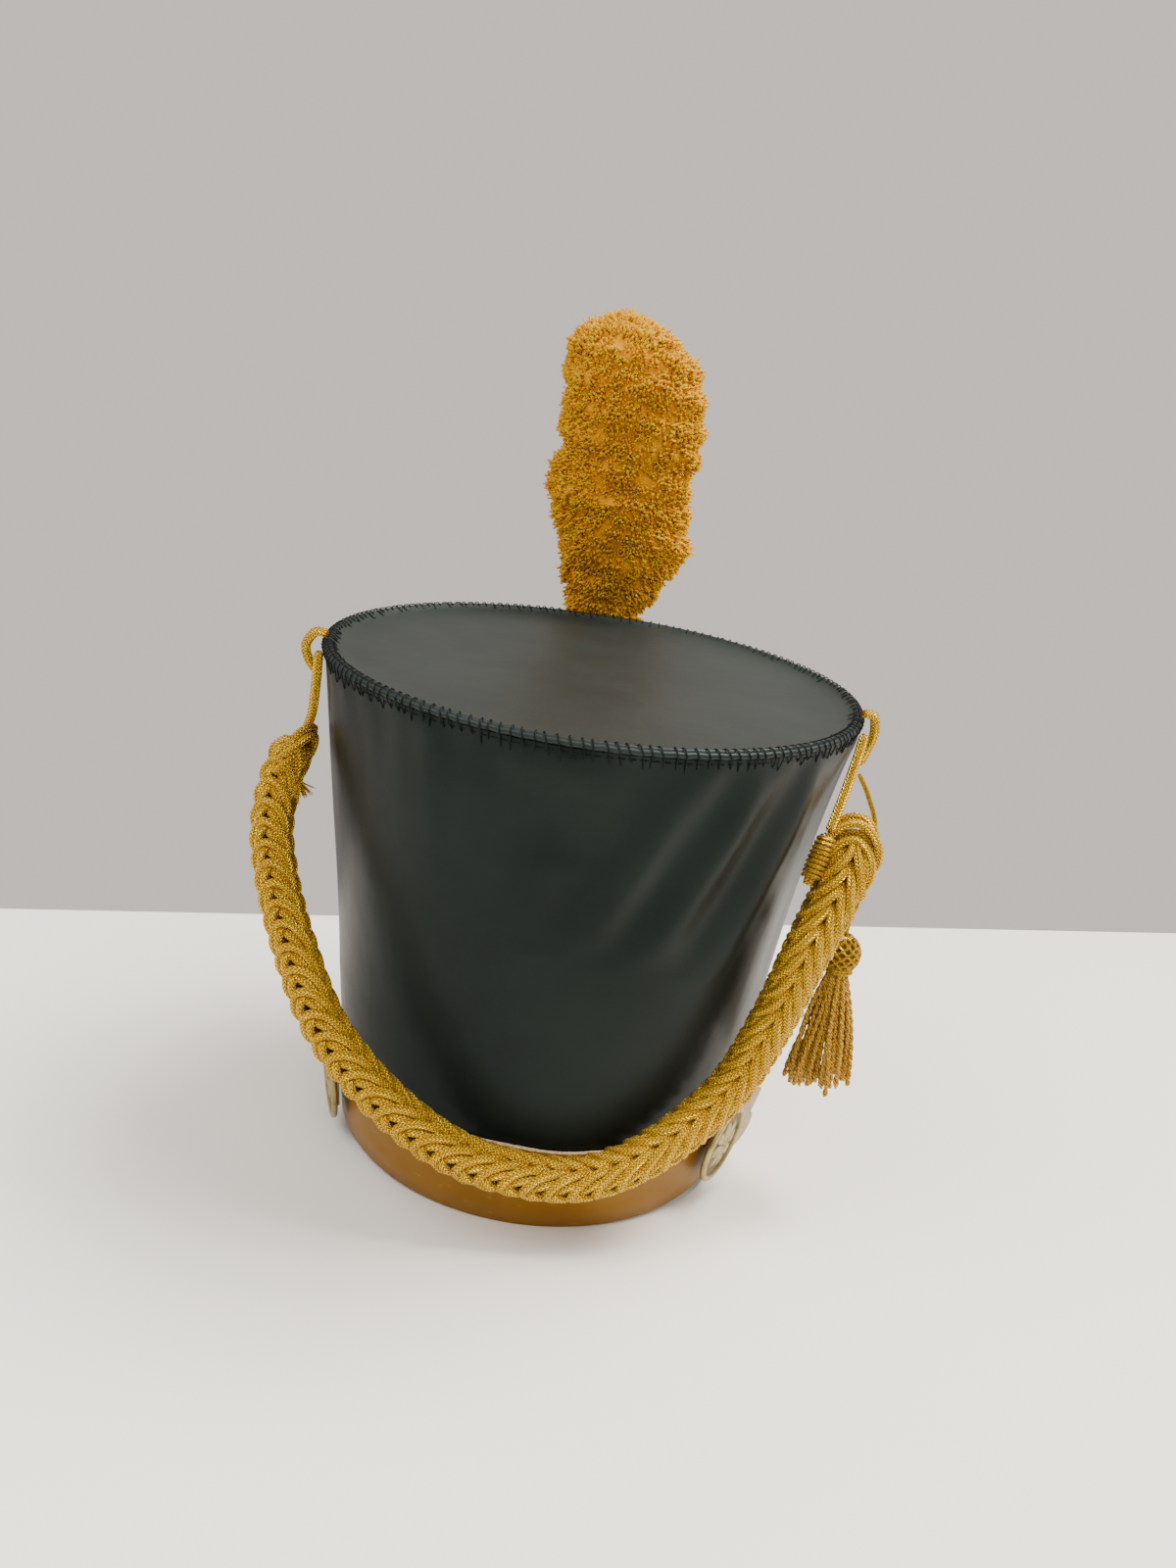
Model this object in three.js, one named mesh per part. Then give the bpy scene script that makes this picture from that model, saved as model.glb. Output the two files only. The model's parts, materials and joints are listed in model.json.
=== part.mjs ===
// A shako: a flared leather crown with a stitched flat top, a gold head band and a front peak, dressed with a
// plume, a hanging festoon of plaited cord, a tassel and two side ornaments.
// Millimetres, +Z up. The hat faces -Y and its left side is +X. It is drawn upright on its rim plane and then
// leaned back, as it rests on the rear of its rim and on the edge of its peak.
import * as THREE from 'three';

const RIM_RADIUS = 95.3; // outside of the head band at the rim plane
const TOP_RADIUS = 118; // outside of the top seam
const CROWN_HEIGHT = 227; // rim plane to the top of the seam
const REST_TILT = THREE.MathUtils.degToRad(6.5); // how far the resting hat leans back
const REST_SHIFT_Y = -0.4; // brings the middle of the leaned hat over the origin
const GAP = 0.3; // between pieces that touch

const WALL = 2; // crown leather
const BAND_HEIGHT = 42;
const BAND_WALL = 1.5;
const TOP_WALL = 2;
const SEAM_DROP = 3; // height of the raised seam edge of the top
const ROUND_STEPS = 72; // facets round the crown

const PEAK_WALL = 2.5;
const PEAK_REACH = 45; // past the rim at the middle of the front
const PEAK_HALF_ANGLE = 56; // degrees either side of the front
const PEAK_RESTING_ANGLE = 30; // the edge lies on the ground inside this angle

const CORD_DIAMETER = 4;
const STRING_DIAMETER = 2.2;
const PLAIT_RADIUS = 8.5; // outer form of the plaited cord

const MEDALLION_RADIUS = 19;
const MEDALLION_BACK = 3.9; // distance of its back from the band
const STUD_RADIUS = 4;
const PLATE_BACK = 2.4; // distance of the side plate's back from the band
const PLATE_WALL = 1.1;
// Side ornaments: sign of the plate's forward direction, degrees from the rear to the left, height on the band.
const SIDE_ORNAMENTS = [
  { word: 'right', side: 1, angle: -61, z: 25 },
  { word: 'left', side: -1, angle: 69, z: 20 },
];

const SOCKET_RADIUS = 5;
const SOCKET_HEIGHTS = [142, 188.8]; // foot and head of the plume's post

const LEATHER = { color: 0x262d2a, roughness: 0.45, metalness: 0 };
const GOLD_LEATHER = { color: 0xa87632, roughness: 0.4, metalness: 0.15 };
const GOLD_CORD = { color: 0xc9962f, roughness: 0.35, metalness: 0.8 };
const GOLD_YARN = { color: 0xa97d33, roughness: 0.7, metalness: 0.1 };
const PALE_GOLD = { color: 0xb5a273, roughness: 0.35, metalness: 0.9 };
const WOOL = { color: 0xe39a0a, roughness: 0.95, metalness: 0 };

// Folds of the crown leather. Angles are in degrees from the rear towards the left side, heights are above the
// rim plane, width is the half width in degrees and rise is outward; a dent has a negative rise.
const FOLDS = [
  { topAngle: -11, lowAngle: 3, top: 222, low: 128, width: 5.5, rise: -2.6 },
  { topAngle: -20, lowAngle: -6, top: 222, low: 112, width: 4.5, rise: 2.2 },
  { topAngle: -28, lowAngle: -13, top: 223, low: 108, width: 4.5, rise: -3.2 },
  { topAngle: -34, lowAngle: -23, top: 222, low: 96, width: 4.5, rise: 2.4 },
  { topAngle: -41, lowAngle: -33, top: 223, low: 110, width: 4, rise: -2.4 },
  { topAngle: -49, lowAngle: -43, top: 222, low: 105, width: 4.5, rise: 1.8 },
  { topAngle: -68, lowAngle: -70, top: 214, low: 62, width: 14, rise: -4.5 },
  { topAngle: 7, lowAngle: 3, top: 224, low: 205, width: 9, rise: 1.4 },
  { topAngle: 6, lowAngle: 2, top: 212, low: 180, width: 7, rise: -1.8 },
  { topAngle: 43, lowAngle: 20, top: 132, low: 48, width: 7, rise: -1.4 },
  { topAngle: 58, lowAngle: 62, top: 216, low: 80, width: 16, rise: -1.2 },
  { topAngle: 118, lowAngle: 128, top: 218, low: 70, width: 10, rise: -1.8 },
  { topAngle: -122, lowAngle: -130, top: 220, low: 80, width: 9, rise: -1.8 },
];

// Sections of the plume, from its foot up: half sizes across and deep, and the middle of each section.
const PLUME_SECTIONS = [
  { z: 190, across: 7, deep: 6.5, x: 0, y: -121.5 },
  { z: 206, across: 15, deep: 13, x: 1, y: -130 },
  { z: 227, across: 21, deep: 19, x: 1, y: -138.5 },
  { z: 250, across: 31, deep: 25, x: -2, y: -141 },
  { z: 263, across: 35, deep: 27, x: -3, y: -141 },
  { z: 283, across: 38, deep: 28, x: 2, y: -141 },
  { z: 297, across: 37, deep: 27, x: 2, y: -141 },
  { z: 311, across: 36, deep: 27, x: 0, y: -140 },
  { z: 327, across: 37.5, deep: 28, x: 1, y: -140 },
  { z: 345, across: 36.5, deep: 28, x: 3, y: -140 },
  { z: 362, across: 33, deep: 25, x: 6, y: -140 },
  { z: 374, across: 26, deep: 19, x: 9, y: -140 },
  { z: 381, across: 14, deep: 10, x: 10, y: -140 },
];

// Routes of the cords as x, y, z, on the upright hat.
const FESTOON_ROUTE = [
  [-118, 48.2, 182], [-117, 53, 172], [-114.4, 58, 162], [-108.5, 65, 148], [-102.5, 72, 132],
  [-96, 75.5, 108], [-85, 80.5, 79], [-71, 88, 62], [-52.5, 97.5, 48], [-33, 104, 39],
  [-15, 107.5, 36.5], [3.5, 109.5, 38.5], [21, 110.5, 42.5], [38, 110, 50], [56, 107.5, 61],
  [73, 102, 73], [87, 95.5, 86], [97, 88, 99], [106, 79, 112], [113.5, 69, 121.5],
  [120, 59, 132], [125, 50, 143], [127, 41.5, 155], [125.8, 34.5, 168], [122, 28.5, 180],
];
const HANGER_RIGHT_ROUTE = [
  [-116.5, 31, 221.5], [-114.3, 36, 211], [-111.8, 41, 200.5], [-109, 46.5, 191], [-106.4, 51.4, 183.2],
];
const HANGER_LEFT_ROUTE = [
  [116.5, 29, 221.5], [116.8, 29, 208], [117.6, 28.6, 195], [119.6, 26.8, 187.5], [121, 26.4, 183],
];
const LOOP_RIGHT_ROUTE = [
  [-114.5, 28, 229.7], [-119.8, 26, 228.2], [-121.8, 24.5, 220.5], [-120.5, 24.8, 214], [-117.6, 28.3, 207.5],
];
const LOOP_LEFT_ROUTE = [
  [113.5, 28.5, 229.7], [119, 27, 229], [123, 25.5, 222.5], [121.6, 23.6, 215.5], [117.8, 22.4, 210.5],
];
const TASSEL_STRING_ROUTE = [
  [-118.4, 29, 203.2], [-124.3, 29.5, 194], [-129.5, 32, 181], [-129.5, 30.5, 160], [-128.7, 28.7, 131],
];
const BINDING_ENDS = [[-106, 52, 181.4], [-100.8, 59.6, 165]];
const TASSEL_MIDDLE = [-128.5, 29, 119]; // middle of the tassel's knotted head

/** Unit vector in the rim plane at an angle in degrees from the rear towards the left side. */
function direction(angle) {
  const turn = THREE.MathUtils.degToRad(angle);
  return new THREE.Vector3(Math.sin(turn), Math.cos(turn), 0);
}

/** Outer radius of the undisturbed hat at a height above the rim plane. */
function coneRadius(z) {
  return THREE.MathUtils.mapLinear(z, 0, CROWN_HEIGHT, RIM_RADIUS, TOP_RADIUS);
}

/** Outward rise of the crown leather by its folds at an angle and a height. */
function foldRise(angle, z) {
  return FOLDS.reduce((sum, fold) => {
    const along = THREE.MathUtils.inverseLerp(fold.low, fold.top, z);
    if (along <= 0 || along >= 1) return sum;
    const middle = THREE.MathUtils.lerp(fold.lowAngle, fold.topAngle, along);
    const apart = (THREE.MathUtils.euclideanModulo(angle - middle + 180, 360) - 180) / fold.width;
    return sum + fold.rise * Math.exp(-apart * apart) * Math.sin(Math.PI * along) ** 0.6;
  }, 0);
}

/** Mesh of one named piece with its own material. */
function piece(name, geometry, look) {
  const mesh = new THREE.Mesh(geometry, new THREE.MeshStandardMaterial(look));
  mesh.name = name;
  return mesh;
}

/** Solid through rows of points, each row a closed outline; the rows close on each other or get end caps. */
function lofted(rows, closesOnItself) {
  const count = rows[0].length;
  const index = [];
  const joins = closesOnItself ? rows.length : rows.length - 1;
  for (let row = 0; row < joins; row += 1) {
    const next = (row + 1) % rows.length;
    for (let i = 0; i < count; i += 1) {
      const j = (i + 1) % count;
      index.push(row * count + i, row * count + j, next * count + j);
      index.push(row * count + i, next * count + j, next * count + i);
    }
  }
  if (!closesOnItself) {
    const last = (rows.length - 1) * count;
    for (let i = 1; i < count - 1; i += 1) {
      index.push(0, i + 1, i);
      index.push(last, last + i, last + i + 1);
    }
  }
  const geometry = new THREE.BufferGeometry().setFromPoints(rows.flat());
  geometry.setIndex(index);
  return geometry;
}

/** Solid of revolution about Z from a profile of [radius, height] pairs. */
function turned(profile, steps) {
  const lathe = new THREE.LatheGeometry(profile.map(([radius, z]) => new THREE.Vector2(radius, z)), steps);
  return lathe.rotateX(Math.PI / 2);
}

/** Round cord along a route. */
function cordAlong(route, diameter, sides, steps) {
  const curve = new THREE.CatmullRomCurve3(route.map((point) => new THREE.Vector3(...point)));
  const section = new THREE.Shape(new THREE.Path().absarc(0, 0, diameter / 2, 0, 2 * Math.PI).getPoints(sides / 2));
  return new THREE.ExtrudeGeometry(section, { extrudePath: curve, steps });
}

/** Crown leather: an open flared wall with its folds. */
function crownShell() {
  const bottom = 1;
  const top = CROWN_HEIGHT - SEAM_DROP - GAP;
  const heights = [bottom, 46, 58, 72, 88, 104, 120, 136, 152, 168, 184, 198, 210, 218, top];
  const underBand = BAND_WALL + 1.2 * GAP;
  const rows = [];
  for (let step = 0; step < ROUND_STEPS; step += 1) {
    const angle = (step * 360) / ROUND_STEPS;
    const outward = direction(angle);
    const point = (z, inset) => {
      const drawnIn = THREE.MathUtils.mapLinear(Math.max(z, BAND_HEIGHT), BAND_HEIGHT, top, underBand, 0);
      const radius = coneRadius(z) - drawnIn + foldRise(angle, z) - inset;
      return outward.clone().multiplyScalar(radius).setZ(z);
    };
    const outer = heights.map((z) => point(z, 0));
    const inner = heights.toReversed().map((z) => point(z, WALL));
    rows.push([...outer, ...inner]);
  }
  return piece('crown_shell', lofted(rows, true), LEATHER);
}

/** Flat leather top: a slightly sunk disc whose raised edge caps the crown wall. */
function crownTop() {
  const height = CROWN_HEIGHT;
  const inside = TOP_RADIUS - WALL - 2.5;
  const profile = [
    [0, height - 6.2], [inside - 8, height - 5.4], [inside, height - 4.6], [inside + 0.4, height - SEAM_DROP],
    [TOP_RADIUS, height - SEAM_DROP], [TOP_RADIUS + 0.5, height - 1.4], [TOP_RADIUS - 0.4, height],
    [TOP_RADIUS - 3, height - 0.2], [inside - 2, height - 2.2], [inside - 10, height - 3.4],
    [0, height - 6.2 + TOP_WALL],
  ];
  return piece('crown_top', turned(profile, ROUND_STEPS), LEATHER);
}

/** Gold leather band round the foot of the crown. */
function headBand() {
  const inset = BAND_WALL;
  const profile = [
    [RIM_RADIUS - inset, 0], [RIM_RADIUS, 0], [coneRadius(BAND_HEIGHT), BAND_HEIGHT],
    [coneRadius(BAND_HEIGHT) - inset, BAND_HEIGHT], [RIM_RADIUS - inset, 0],
  ];
  return piece('head_band', turned(profile, ROUND_STEPS), GOLD_LEATHER);
}

/** Height of the ground above the rim plane, for a point at y on the hat drawn upright. */
function groundHeight(y) {
  return (y - RIM_RADIUS) * Math.tan(REST_TILT);
}

/** Front peak: a leather crescent under the rim that slopes down to the ground. */
function peak() {
  const spans = 40;
  const rings = 4;
  const insideRadius = RIM_RADIUS - 4;
  const rows = [];
  for (let span = 0; span <= spans; span += 1) {
    const offFront = THREE.MathUtils.mapLinear(span, 0, spans, -PEAK_HALF_ANGLE, PEAK_HALF_ANGLE);
    const share = Math.abs(offFront) / PEAK_HALF_ANGLE;
    const outward = direction(180 + offFront);
    const outsideRadius = insideRadius + 6 + (PEAK_REACH - 2) * (1 - share ** 2) ** 0.75;
    const edge = outward.clone().multiplyScalar(outsideRadius);
    const lift = THREE.MathUtils.smoothstep(Math.abs(offFront), PEAK_RESTING_ANGLE, PEAK_HALF_ANGLE + 6);
    const edgeFoot = THREE.MathUtils.lerp(groundHeight(edge.y), -PEAK_WALL - GAP, lift);
    const under = [];
    for (let ring = 0; ring <= rings; ring += 1) {
      const along = ring / rings;
      const radius = THREE.MathUtils.lerp(insideRadius, outsideRadius, along);
      const foot = THREE.MathUtils.lerp(-PEAK_WALL - GAP, edgeFoot, along ** 1.25);
      under.push(outward.clone().multiplyScalar(radius).setZ(foot));
    }
    const over = under.map((point) => point.clone().setZ(point.z + PEAK_WALL)).reverse();
    rows.push([...under, ...over]);
  }
  return piece('peak', lofted(rows, false), LEATHER);
}

/** Outer form of the wool plume. */
function plume() {
  const sides = 28;
  const rows = PLUME_SECTIONS.map(({ z, across, deep, x, y }) => {
    const outline = new THREE.EllipseCurve(x, y, across, deep).getPoints(sides).slice(0, sides);
    return outline.map((point) => new THREE.Vector3(point.x, point.y, z));
  });
  return piece('plume', lofted(rows, false), WOOL);
}

/** Plain post on the front of the crown that carries the plume. */
function plumeSocket() {
  const radius = SOCKET_RADIUS;
  const [foot, head] = SOCKET_HEIGHTS.map((z) => new THREE.Vector3(0, -(coneRadius(z) + radius + 2 * GAP), z));
  const geometry = new THREE.CylinderGeometry(radius, radius, foot.distanceTo(head), 16);
  const mesh = piece('plume_socket', geometry, LEATHER);
  mesh.position.lerpVectors(foot, head, 0.5);
  mesh.quaternion.setFromUnitVectors(new THREE.Vector3(0, 1, 0), head.clone().sub(foot).normalize());
  return mesh;
}

/** Domed medallion with a raised rim and a stud towards the band, drawn about its own axis. */
function medallion(name) {
  const back = MEDALLION_BACK;
  const profile = [
    [0, 2 * GAP], [STUD_RADIUS, 2 * GAP], [STUD_RADIUS, back], [MEDALLION_RADIUS - 0.6, back],
    [MEDALLION_RADIUS, back + 0.7], [MEDALLION_RADIUS, back + 2.4], [MEDALLION_RADIUS - 0.8, back + 3.1],
    [MEDALLION_RADIUS - 2.2, back + 3], [MEDALLION_RADIUS - 3, back + 1.9], [12, back + 2.4], [6, back + 3.2],
    [0, back + 3.5],
  ];
  return piece(name, turned(profile, 36), PALE_GOLD);
}

/** Forked leaf plate behind a medallion, reaching to the front; side is 1 on the right, -1 on the left. */
function sidePlate(name, side) {
  const shape = new THREE.Shape();
  const at = (forward, up) => [side * forward, up];
  shape.moveTo(...at(-11, 9));
  shape.quadraticCurveTo(...at(4, 15), ...at(19, 14));
  shape.quadraticCurveTo(...at(34, 14), ...at(44.5, 7));
  shape.quadraticCurveTo(...at(42, -1), ...at(37, -5));
  shape.bezierCurveTo(...at(44, -5), ...at(46, -12), ...at(42, -16.5));
  shape.bezierCurveTo(...at(37, -21.5), ...at(26, -20), ...at(17, -15));
  shape.quadraticCurveTo(...at(2, -13), ...at(-11, -9));
  shape.quadraticCurveTo(...at(-15, 0), ...at(-11, 9));
  shape.holes.push(new THREE.Path().absarc(0, 0, STUD_RADIUS + GAP, 0, 2 * Math.PI, side < 0));
  const plate = new THREE.ExtrudeGeometry(shape, { depth: PLATE_WALL, bevelEnabled: false, curveSegments: 8 });
  return piece(name, plate.translate(0, 0, PLATE_BACK), PALE_GOLD);
}

/** One side's medallion and plate, set on the band at an angle and height. */
function sideOrnament({ word, side, angle, z }) {
  const outward = direction(angle);
  const flare = Math.atan2(TOP_RADIUS - RIM_RADIUS, CROWN_HEIGHT);
  const normal = outward.clone().multiplyScalar(Math.cos(flare)).setZ(-Math.sin(flare));
  const upward = outward.clone().multiplyScalar(Math.sin(flare)).setZ(Math.cos(flare));
  const group = new THREE.Group();
  group.quaternion.setFromRotationMatrix(
    new THREE.Matrix4().makeBasis(upward.clone().cross(normal), upward, normal),
  );
  group.position.copy(outward).multiplyScalar(coneRadius(z)).setZ(z);
  group.add(medallion(`medallion_${word}`), sidePlate(`side_plate_${word}`, side));
  return group;
}

/** Wrapped binding that holds the right hanger to the plait. */
function binding() {
  const [top, bottom] = BINDING_ENDS.map((end) => new THREE.Vector3(...end));
  const mesh = piece('binding', new THREE.CylinderGeometry(4, 4, top.distanceTo(bottom), 16), GOLD_CORD);
  mesh.position.lerpVectors(top, bottom, 0.5);
  mesh.quaternion.setFromUnitVectors(new THREE.Vector3(0, 1, 0), top.clone().sub(bottom).normalize());
  return mesh;
}

/** Tassel that hangs straight down from its string: a knotted head and a fringe. */
function tassel() {
  const head = [[0, -8], [5, -7.2], [5.6, -6], [7.6, -3.5], [8.2, 0], [7.2, 4], [4.6, 7], [2, 8.6], [0, 8.8]];
  const group = new THREE.Group();
  group.add(piece('tassel_head', turned(head, 20), GOLD_CORD));
  const sections = [[-8.4, 5.2, 5.2], [-14, 8, 8], [-26, 10.5, 11.5], [-45, 13, 14], [-64, 14.5, 15.5]];
  const rows = sections.toReversed().map(([z, across, deep]) => {
    const outline = new THREE.EllipseCurve(0, 0, deep, across).getPoints(18).slice(0, 18);
    return outline.map((point) => new THREE.Vector3(point.x, point.y, z));
  });
  group.add(piece('tassel_fringe', lofted(rows, false), GOLD_YARN));
  group.position.set(...TASSEL_MIDDLE);
  group.rotation.x = REST_TILT;
  return group;
}

const shako = new THREE.Group();
const hat = new THREE.Group();
hat.add(crownShell(), crownTop(), headBand(), peak(), plume(), plumeSocket());
hat.add(...SIDE_ORNAMENTS.map(sideOrnament));
hat.add(piece('festoon', cordAlong(FESTOON_ROUTE, 2 * PLAIT_RADIUS, 10, 48), GOLD_CORD));
hat.add(piece('hanger_right', cordAlong(HANGER_RIGHT_ROUTE, CORD_DIAMETER, 8, 10), GOLD_CORD));
hat.add(piece('hanger_left', cordAlong(HANGER_LEFT_ROUTE, CORD_DIAMETER, 8, 10), GOLD_CORD));
hat.add(piece('loop_right', cordAlong(LOOP_RIGHT_ROUTE, CORD_DIAMETER, 8, 10), GOLD_CORD));
hat.add(piece('loop_left', cordAlong(LOOP_LEFT_ROUTE, CORD_DIAMETER, 8, 10), GOLD_CORD));
hat.add(piece('tassel_string', cordAlong(TASSEL_STRING_ROUTE, STRING_DIAMETER, 8, 16), GOLD_CORD));
hat.add(binding(), tassel());
hat.rotation.x = -REST_TILT;
hat.position.set(0, REST_SHIFT_Y, RIM_RADIUS * Math.sin(REST_TILT));
shako.add(hat);

export default shako;
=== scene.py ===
"""Visual model of a shako: leather crown, gold band, wool plume, plaited festoon, tassel and side ornaments.

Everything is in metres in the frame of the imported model. The hat is worked out upright on its rim plane,
with the front towards -Y, and each mesh is then leaned back to where the hat rests.
"""

import json
import logging
import math
from collections.abc import Callable, Iterator, Sequence
from contextlib import contextmanager
from dataclasses import dataclass, field
from enum import Enum

import bmesh
import bpy
import numpy as np
from mathutils import Matrix, Vector

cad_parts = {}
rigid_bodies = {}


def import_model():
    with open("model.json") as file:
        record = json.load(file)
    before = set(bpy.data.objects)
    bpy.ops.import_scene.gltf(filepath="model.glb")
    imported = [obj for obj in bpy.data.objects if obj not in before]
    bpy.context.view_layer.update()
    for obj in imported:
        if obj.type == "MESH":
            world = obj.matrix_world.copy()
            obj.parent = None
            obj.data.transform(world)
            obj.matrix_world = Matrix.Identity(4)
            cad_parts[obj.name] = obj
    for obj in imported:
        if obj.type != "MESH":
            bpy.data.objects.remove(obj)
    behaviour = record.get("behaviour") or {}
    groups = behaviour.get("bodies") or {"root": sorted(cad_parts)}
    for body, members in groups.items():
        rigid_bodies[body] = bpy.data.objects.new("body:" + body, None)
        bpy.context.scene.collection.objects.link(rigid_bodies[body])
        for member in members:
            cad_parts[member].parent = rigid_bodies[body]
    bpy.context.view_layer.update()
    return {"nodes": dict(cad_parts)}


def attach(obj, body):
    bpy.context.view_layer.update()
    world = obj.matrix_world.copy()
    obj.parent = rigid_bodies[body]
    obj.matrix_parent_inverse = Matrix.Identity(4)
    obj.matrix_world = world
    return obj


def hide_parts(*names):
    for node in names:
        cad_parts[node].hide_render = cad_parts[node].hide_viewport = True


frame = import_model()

LOG = logging.getLogger("shako")
MM = 0.001
SEED = 11
Colour = tuple[float, float, float]
Point = tuple[float, float, float]

# Routes of the cords in millimetres on the upright hat, as in the construction.
FESTOON_ROUTE = [
    (-118, 48.2, 182), (-117, 53, 172), (-114.4, 58, 162), (-108.5, 65, 148), (-102.5, 72, 132),
    (-96, 75.5, 108), (-85, 80.5, 79), (-71, 88, 62), (-52.5, 97.5, 48), (-33, 104, 39),
    (-15, 107.5, 36.5), (3.5, 109.5, 38.5), (21, 110.5, 42.5), (38, 110, 50), (56, 107.5, 61),
    (73, 102, 73), (87, 95.5, 86), (97, 88, 99), (106, 79, 112), (113.5, 69, 121.5),
    (120, 59, 132), (125, 50, 143), (127, 41.5, 155), (125.8, 34.5, 168), (122, 28.5, 180),
]
HANGER_RIGHT_ROUTE = [
    (-116.5, 31, 221.5), (-114.3, 36, 211), (-111.8, 41, 200.5), (-109, 46.5, 191), (-106.4, 51.4, 183.2),
]
HANGER_LEFT_ROUTE = [
    (116.5, 29, 221.5), (116.8, 29, 208), (117.6, 28.6, 195), (119.6, 26.8, 187.5), (121, 26.4, 183),
]
LOOP_RIGHT_ROUTE = [
    (-114.5, 28, 229.7), (-119.8, 26, 228.2), (-121.8, 24.5, 220.5), (-120.5, 24.8, 214),
    (-117.6, 28.3, 207.5),
]
LOOP_LEFT_ROUTE = [
    (113.5, 28.5, 229.7), (119, 27, 229), (123, 25.5, 222.5), (121.6, 23.6, 215.5), (117.8, 22.4, 210.5),
]
TASSEL_STRING_ROUTE = [
    (-118.4, 29, 203.2), (-124.3, 29.5, 194), (-129.5, 32, 181), (-129.5, 30.5, 160), (-128.7, 28.7, 131),
]
BINDING_ENDS = [(-106, 52, 181.4), (-100.8, 59.6, 165)]
TASSEL_MIDDLE = (-128.5, 29, 119)


# --------------------------------------------------------------------------------------------------
# Form of the whole hat
# --------------------------------------------------------------------------------------------------


@dataclass(frozen=True)
class Fold:
    """One fold of the crown leather; angles in degrees from the rear to the left, heights in millimetres."""

    top_angle: float
    low_angle: float
    top: float
    low: float
    width: float
    rise: float

    def rise_at(self, angle: float, height: float) -> float:
        """Outward rise of the leather by this fold.

        Args:
            angle: Degrees from the rear towards the left side.
            height: Height above the rim plane in millimetres.

        Returns:
            The rise in millimetres, negative in a dent.
        """
        along = (height - self.low) / (self.top - self.low)
        if not 0.0 < along < 1.0:
            return 0.0
        middle = self.low_angle + (self.top_angle - self.low_angle) * along
        apart = ((angle - middle + 180.0) % 360.0 - 180.0) / self.width
        return self.rise * math.exp(-apart * apart) * math.sin(math.pi * along) ** 0.6


FOLDS = (
    Fold(-14, 3, 222, 138, 5.5, -2.8),
    Fold(-23, -6, 222, 142, 4, 1.6),
    Fold(-31, -12, 223, 134, 4.5, -2.8),
    Fold(-39, -20, 222, 136, 4, 2.0),
    Fold(-47, -28, 223, 128, 4.5, -2.6),
    Fold(-55, -38, 222, 122, 4, 1.6),
    Fold(-68, -70, 214, 62, 14, -4.5),
    Fold(7, 3, 224, 205, 9, 1.6),
    Fold(6, 2, 212, 176, 8, -2.2),
    Fold(40, 24, 140, 52, 14, -0.7),
    Fold(58, 62, 216, 80, 18, -0.8),
    Fold(118, 128, 218, 70, 10, -1.8),
    Fold(-122, -130, 220, 80, 9, -1.8),
)


@dataclass(frozen=True)
class HatForm:
    """The cone that the hat is built on, and how it rests."""

    rim_radius: float = 95.3 * MM
    top_radius: float = 118 * MM
    height: float = 227 * MM
    band_height: float = 42 * MM
    tilt: float = math.radians(6.5)
    shift_y: float = -0.4 * MM

    def radius(self, z: float) -> float:
        """Outer radius of the undisturbed hat at a height above the rim plane."""
        return self.rim_radius + (self.top_radius - self.rim_radius) * z / self.height

    def rest(self) -> Matrix:
        """Matrix from the upright hat to the hat as it rests on its rim and peak."""
        lift = self.rim_radius * math.sin(self.tilt)
        return Matrix.Translation((0.0, self.shift_y, lift)) @ Matrix.Rotation(-self.tilt, 4, "X")

    @staticmethod
    def direction(angle: float) -> Vector:
        """Unit vector in the rim plane at an angle in degrees from the rear towards the left."""
        turn = math.radians(angle)
        return Vector((math.sin(turn), math.cos(turn), 0.0))

    def route(self, points: Sequence[Point]) -> list[Vector]:
        """A cord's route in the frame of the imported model.

        Args:
            points: Millimetre points on the upright hat.

        Returns:
            The points in metres where the hat rests.
        """
        rest = self.rest()
        return [rest @ (Vector(point) * MM) for point in points]


# --------------------------------------------------------------------------------------------------
# Shader writing
# --------------------------------------------------------------------------------------------------


class Value:
    """A number in a shader: arithmetic on it adds Math nodes."""

    def __init__(self, graph: "Graph", socket: bpy.types.NodeSocket) -> None:
        """Wraps a socket of a graph."""
        self.graph = graph
        self.socket = socket

    def _math(self, operation: str, *values: "Value | float") -> "Value":
        """A Math node of an operation on values."""
        inputs = {index: value for index, value in enumerate(values)}
        node = self.graph.node("ShaderNodeMath", {"operation": operation}, inputs)
        return Value(self.graph, node.outputs[0])

    def __add__(self, other: "Value | float") -> "Value":
        """Sum."""
        return self._math("ADD", self, other)

    __radd__ = __add__

    def __sub__(self, other: "Value | float") -> "Value":
        """Difference."""
        return self._math("SUBTRACT", self, other)

    def __rsub__(self, other: "Value | float") -> "Value":
        """Reflected difference."""
        return self._math("SUBTRACT", other, self)

    def __mul__(self, other: "Value | float") -> "Value":
        """Product."""
        return self._math("MULTIPLY", self, other)

    __rmul__ = __mul__

    def __truediv__(self, other: "Value | float") -> "Value":
        """Quotient."""
        return self._math("DIVIDE", self, other)

    def sine(self) -> "Value":
        """Sine of the value in radians."""
        return self._math("SINE", self)

    def fraction(self) -> "Value":
        """Fractional part."""
        return self._math("FRACT", self)

    def absolute(self) -> "Value":
        """Absolute value."""
        return self._math("ABSOLUTE", self)

    def lower(self, other: "Value | float") -> "Value":
        """The lower of two values."""
        return self._math("MINIMUM", self, other)

    def between(self, low: float, high: float) -> "Value":
        """Smooth step from 0 at low to 1 at high."""
        settings = {"interpolation_type": "SMOOTHSTEP"}
        inputs = {"Value": self, "From Min": low, "From Max": high}
        node = self.graph.node("ShaderNodeMapRange", settings, inputs)
        return Value(self.graph, node.outputs["Result"])


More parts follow.
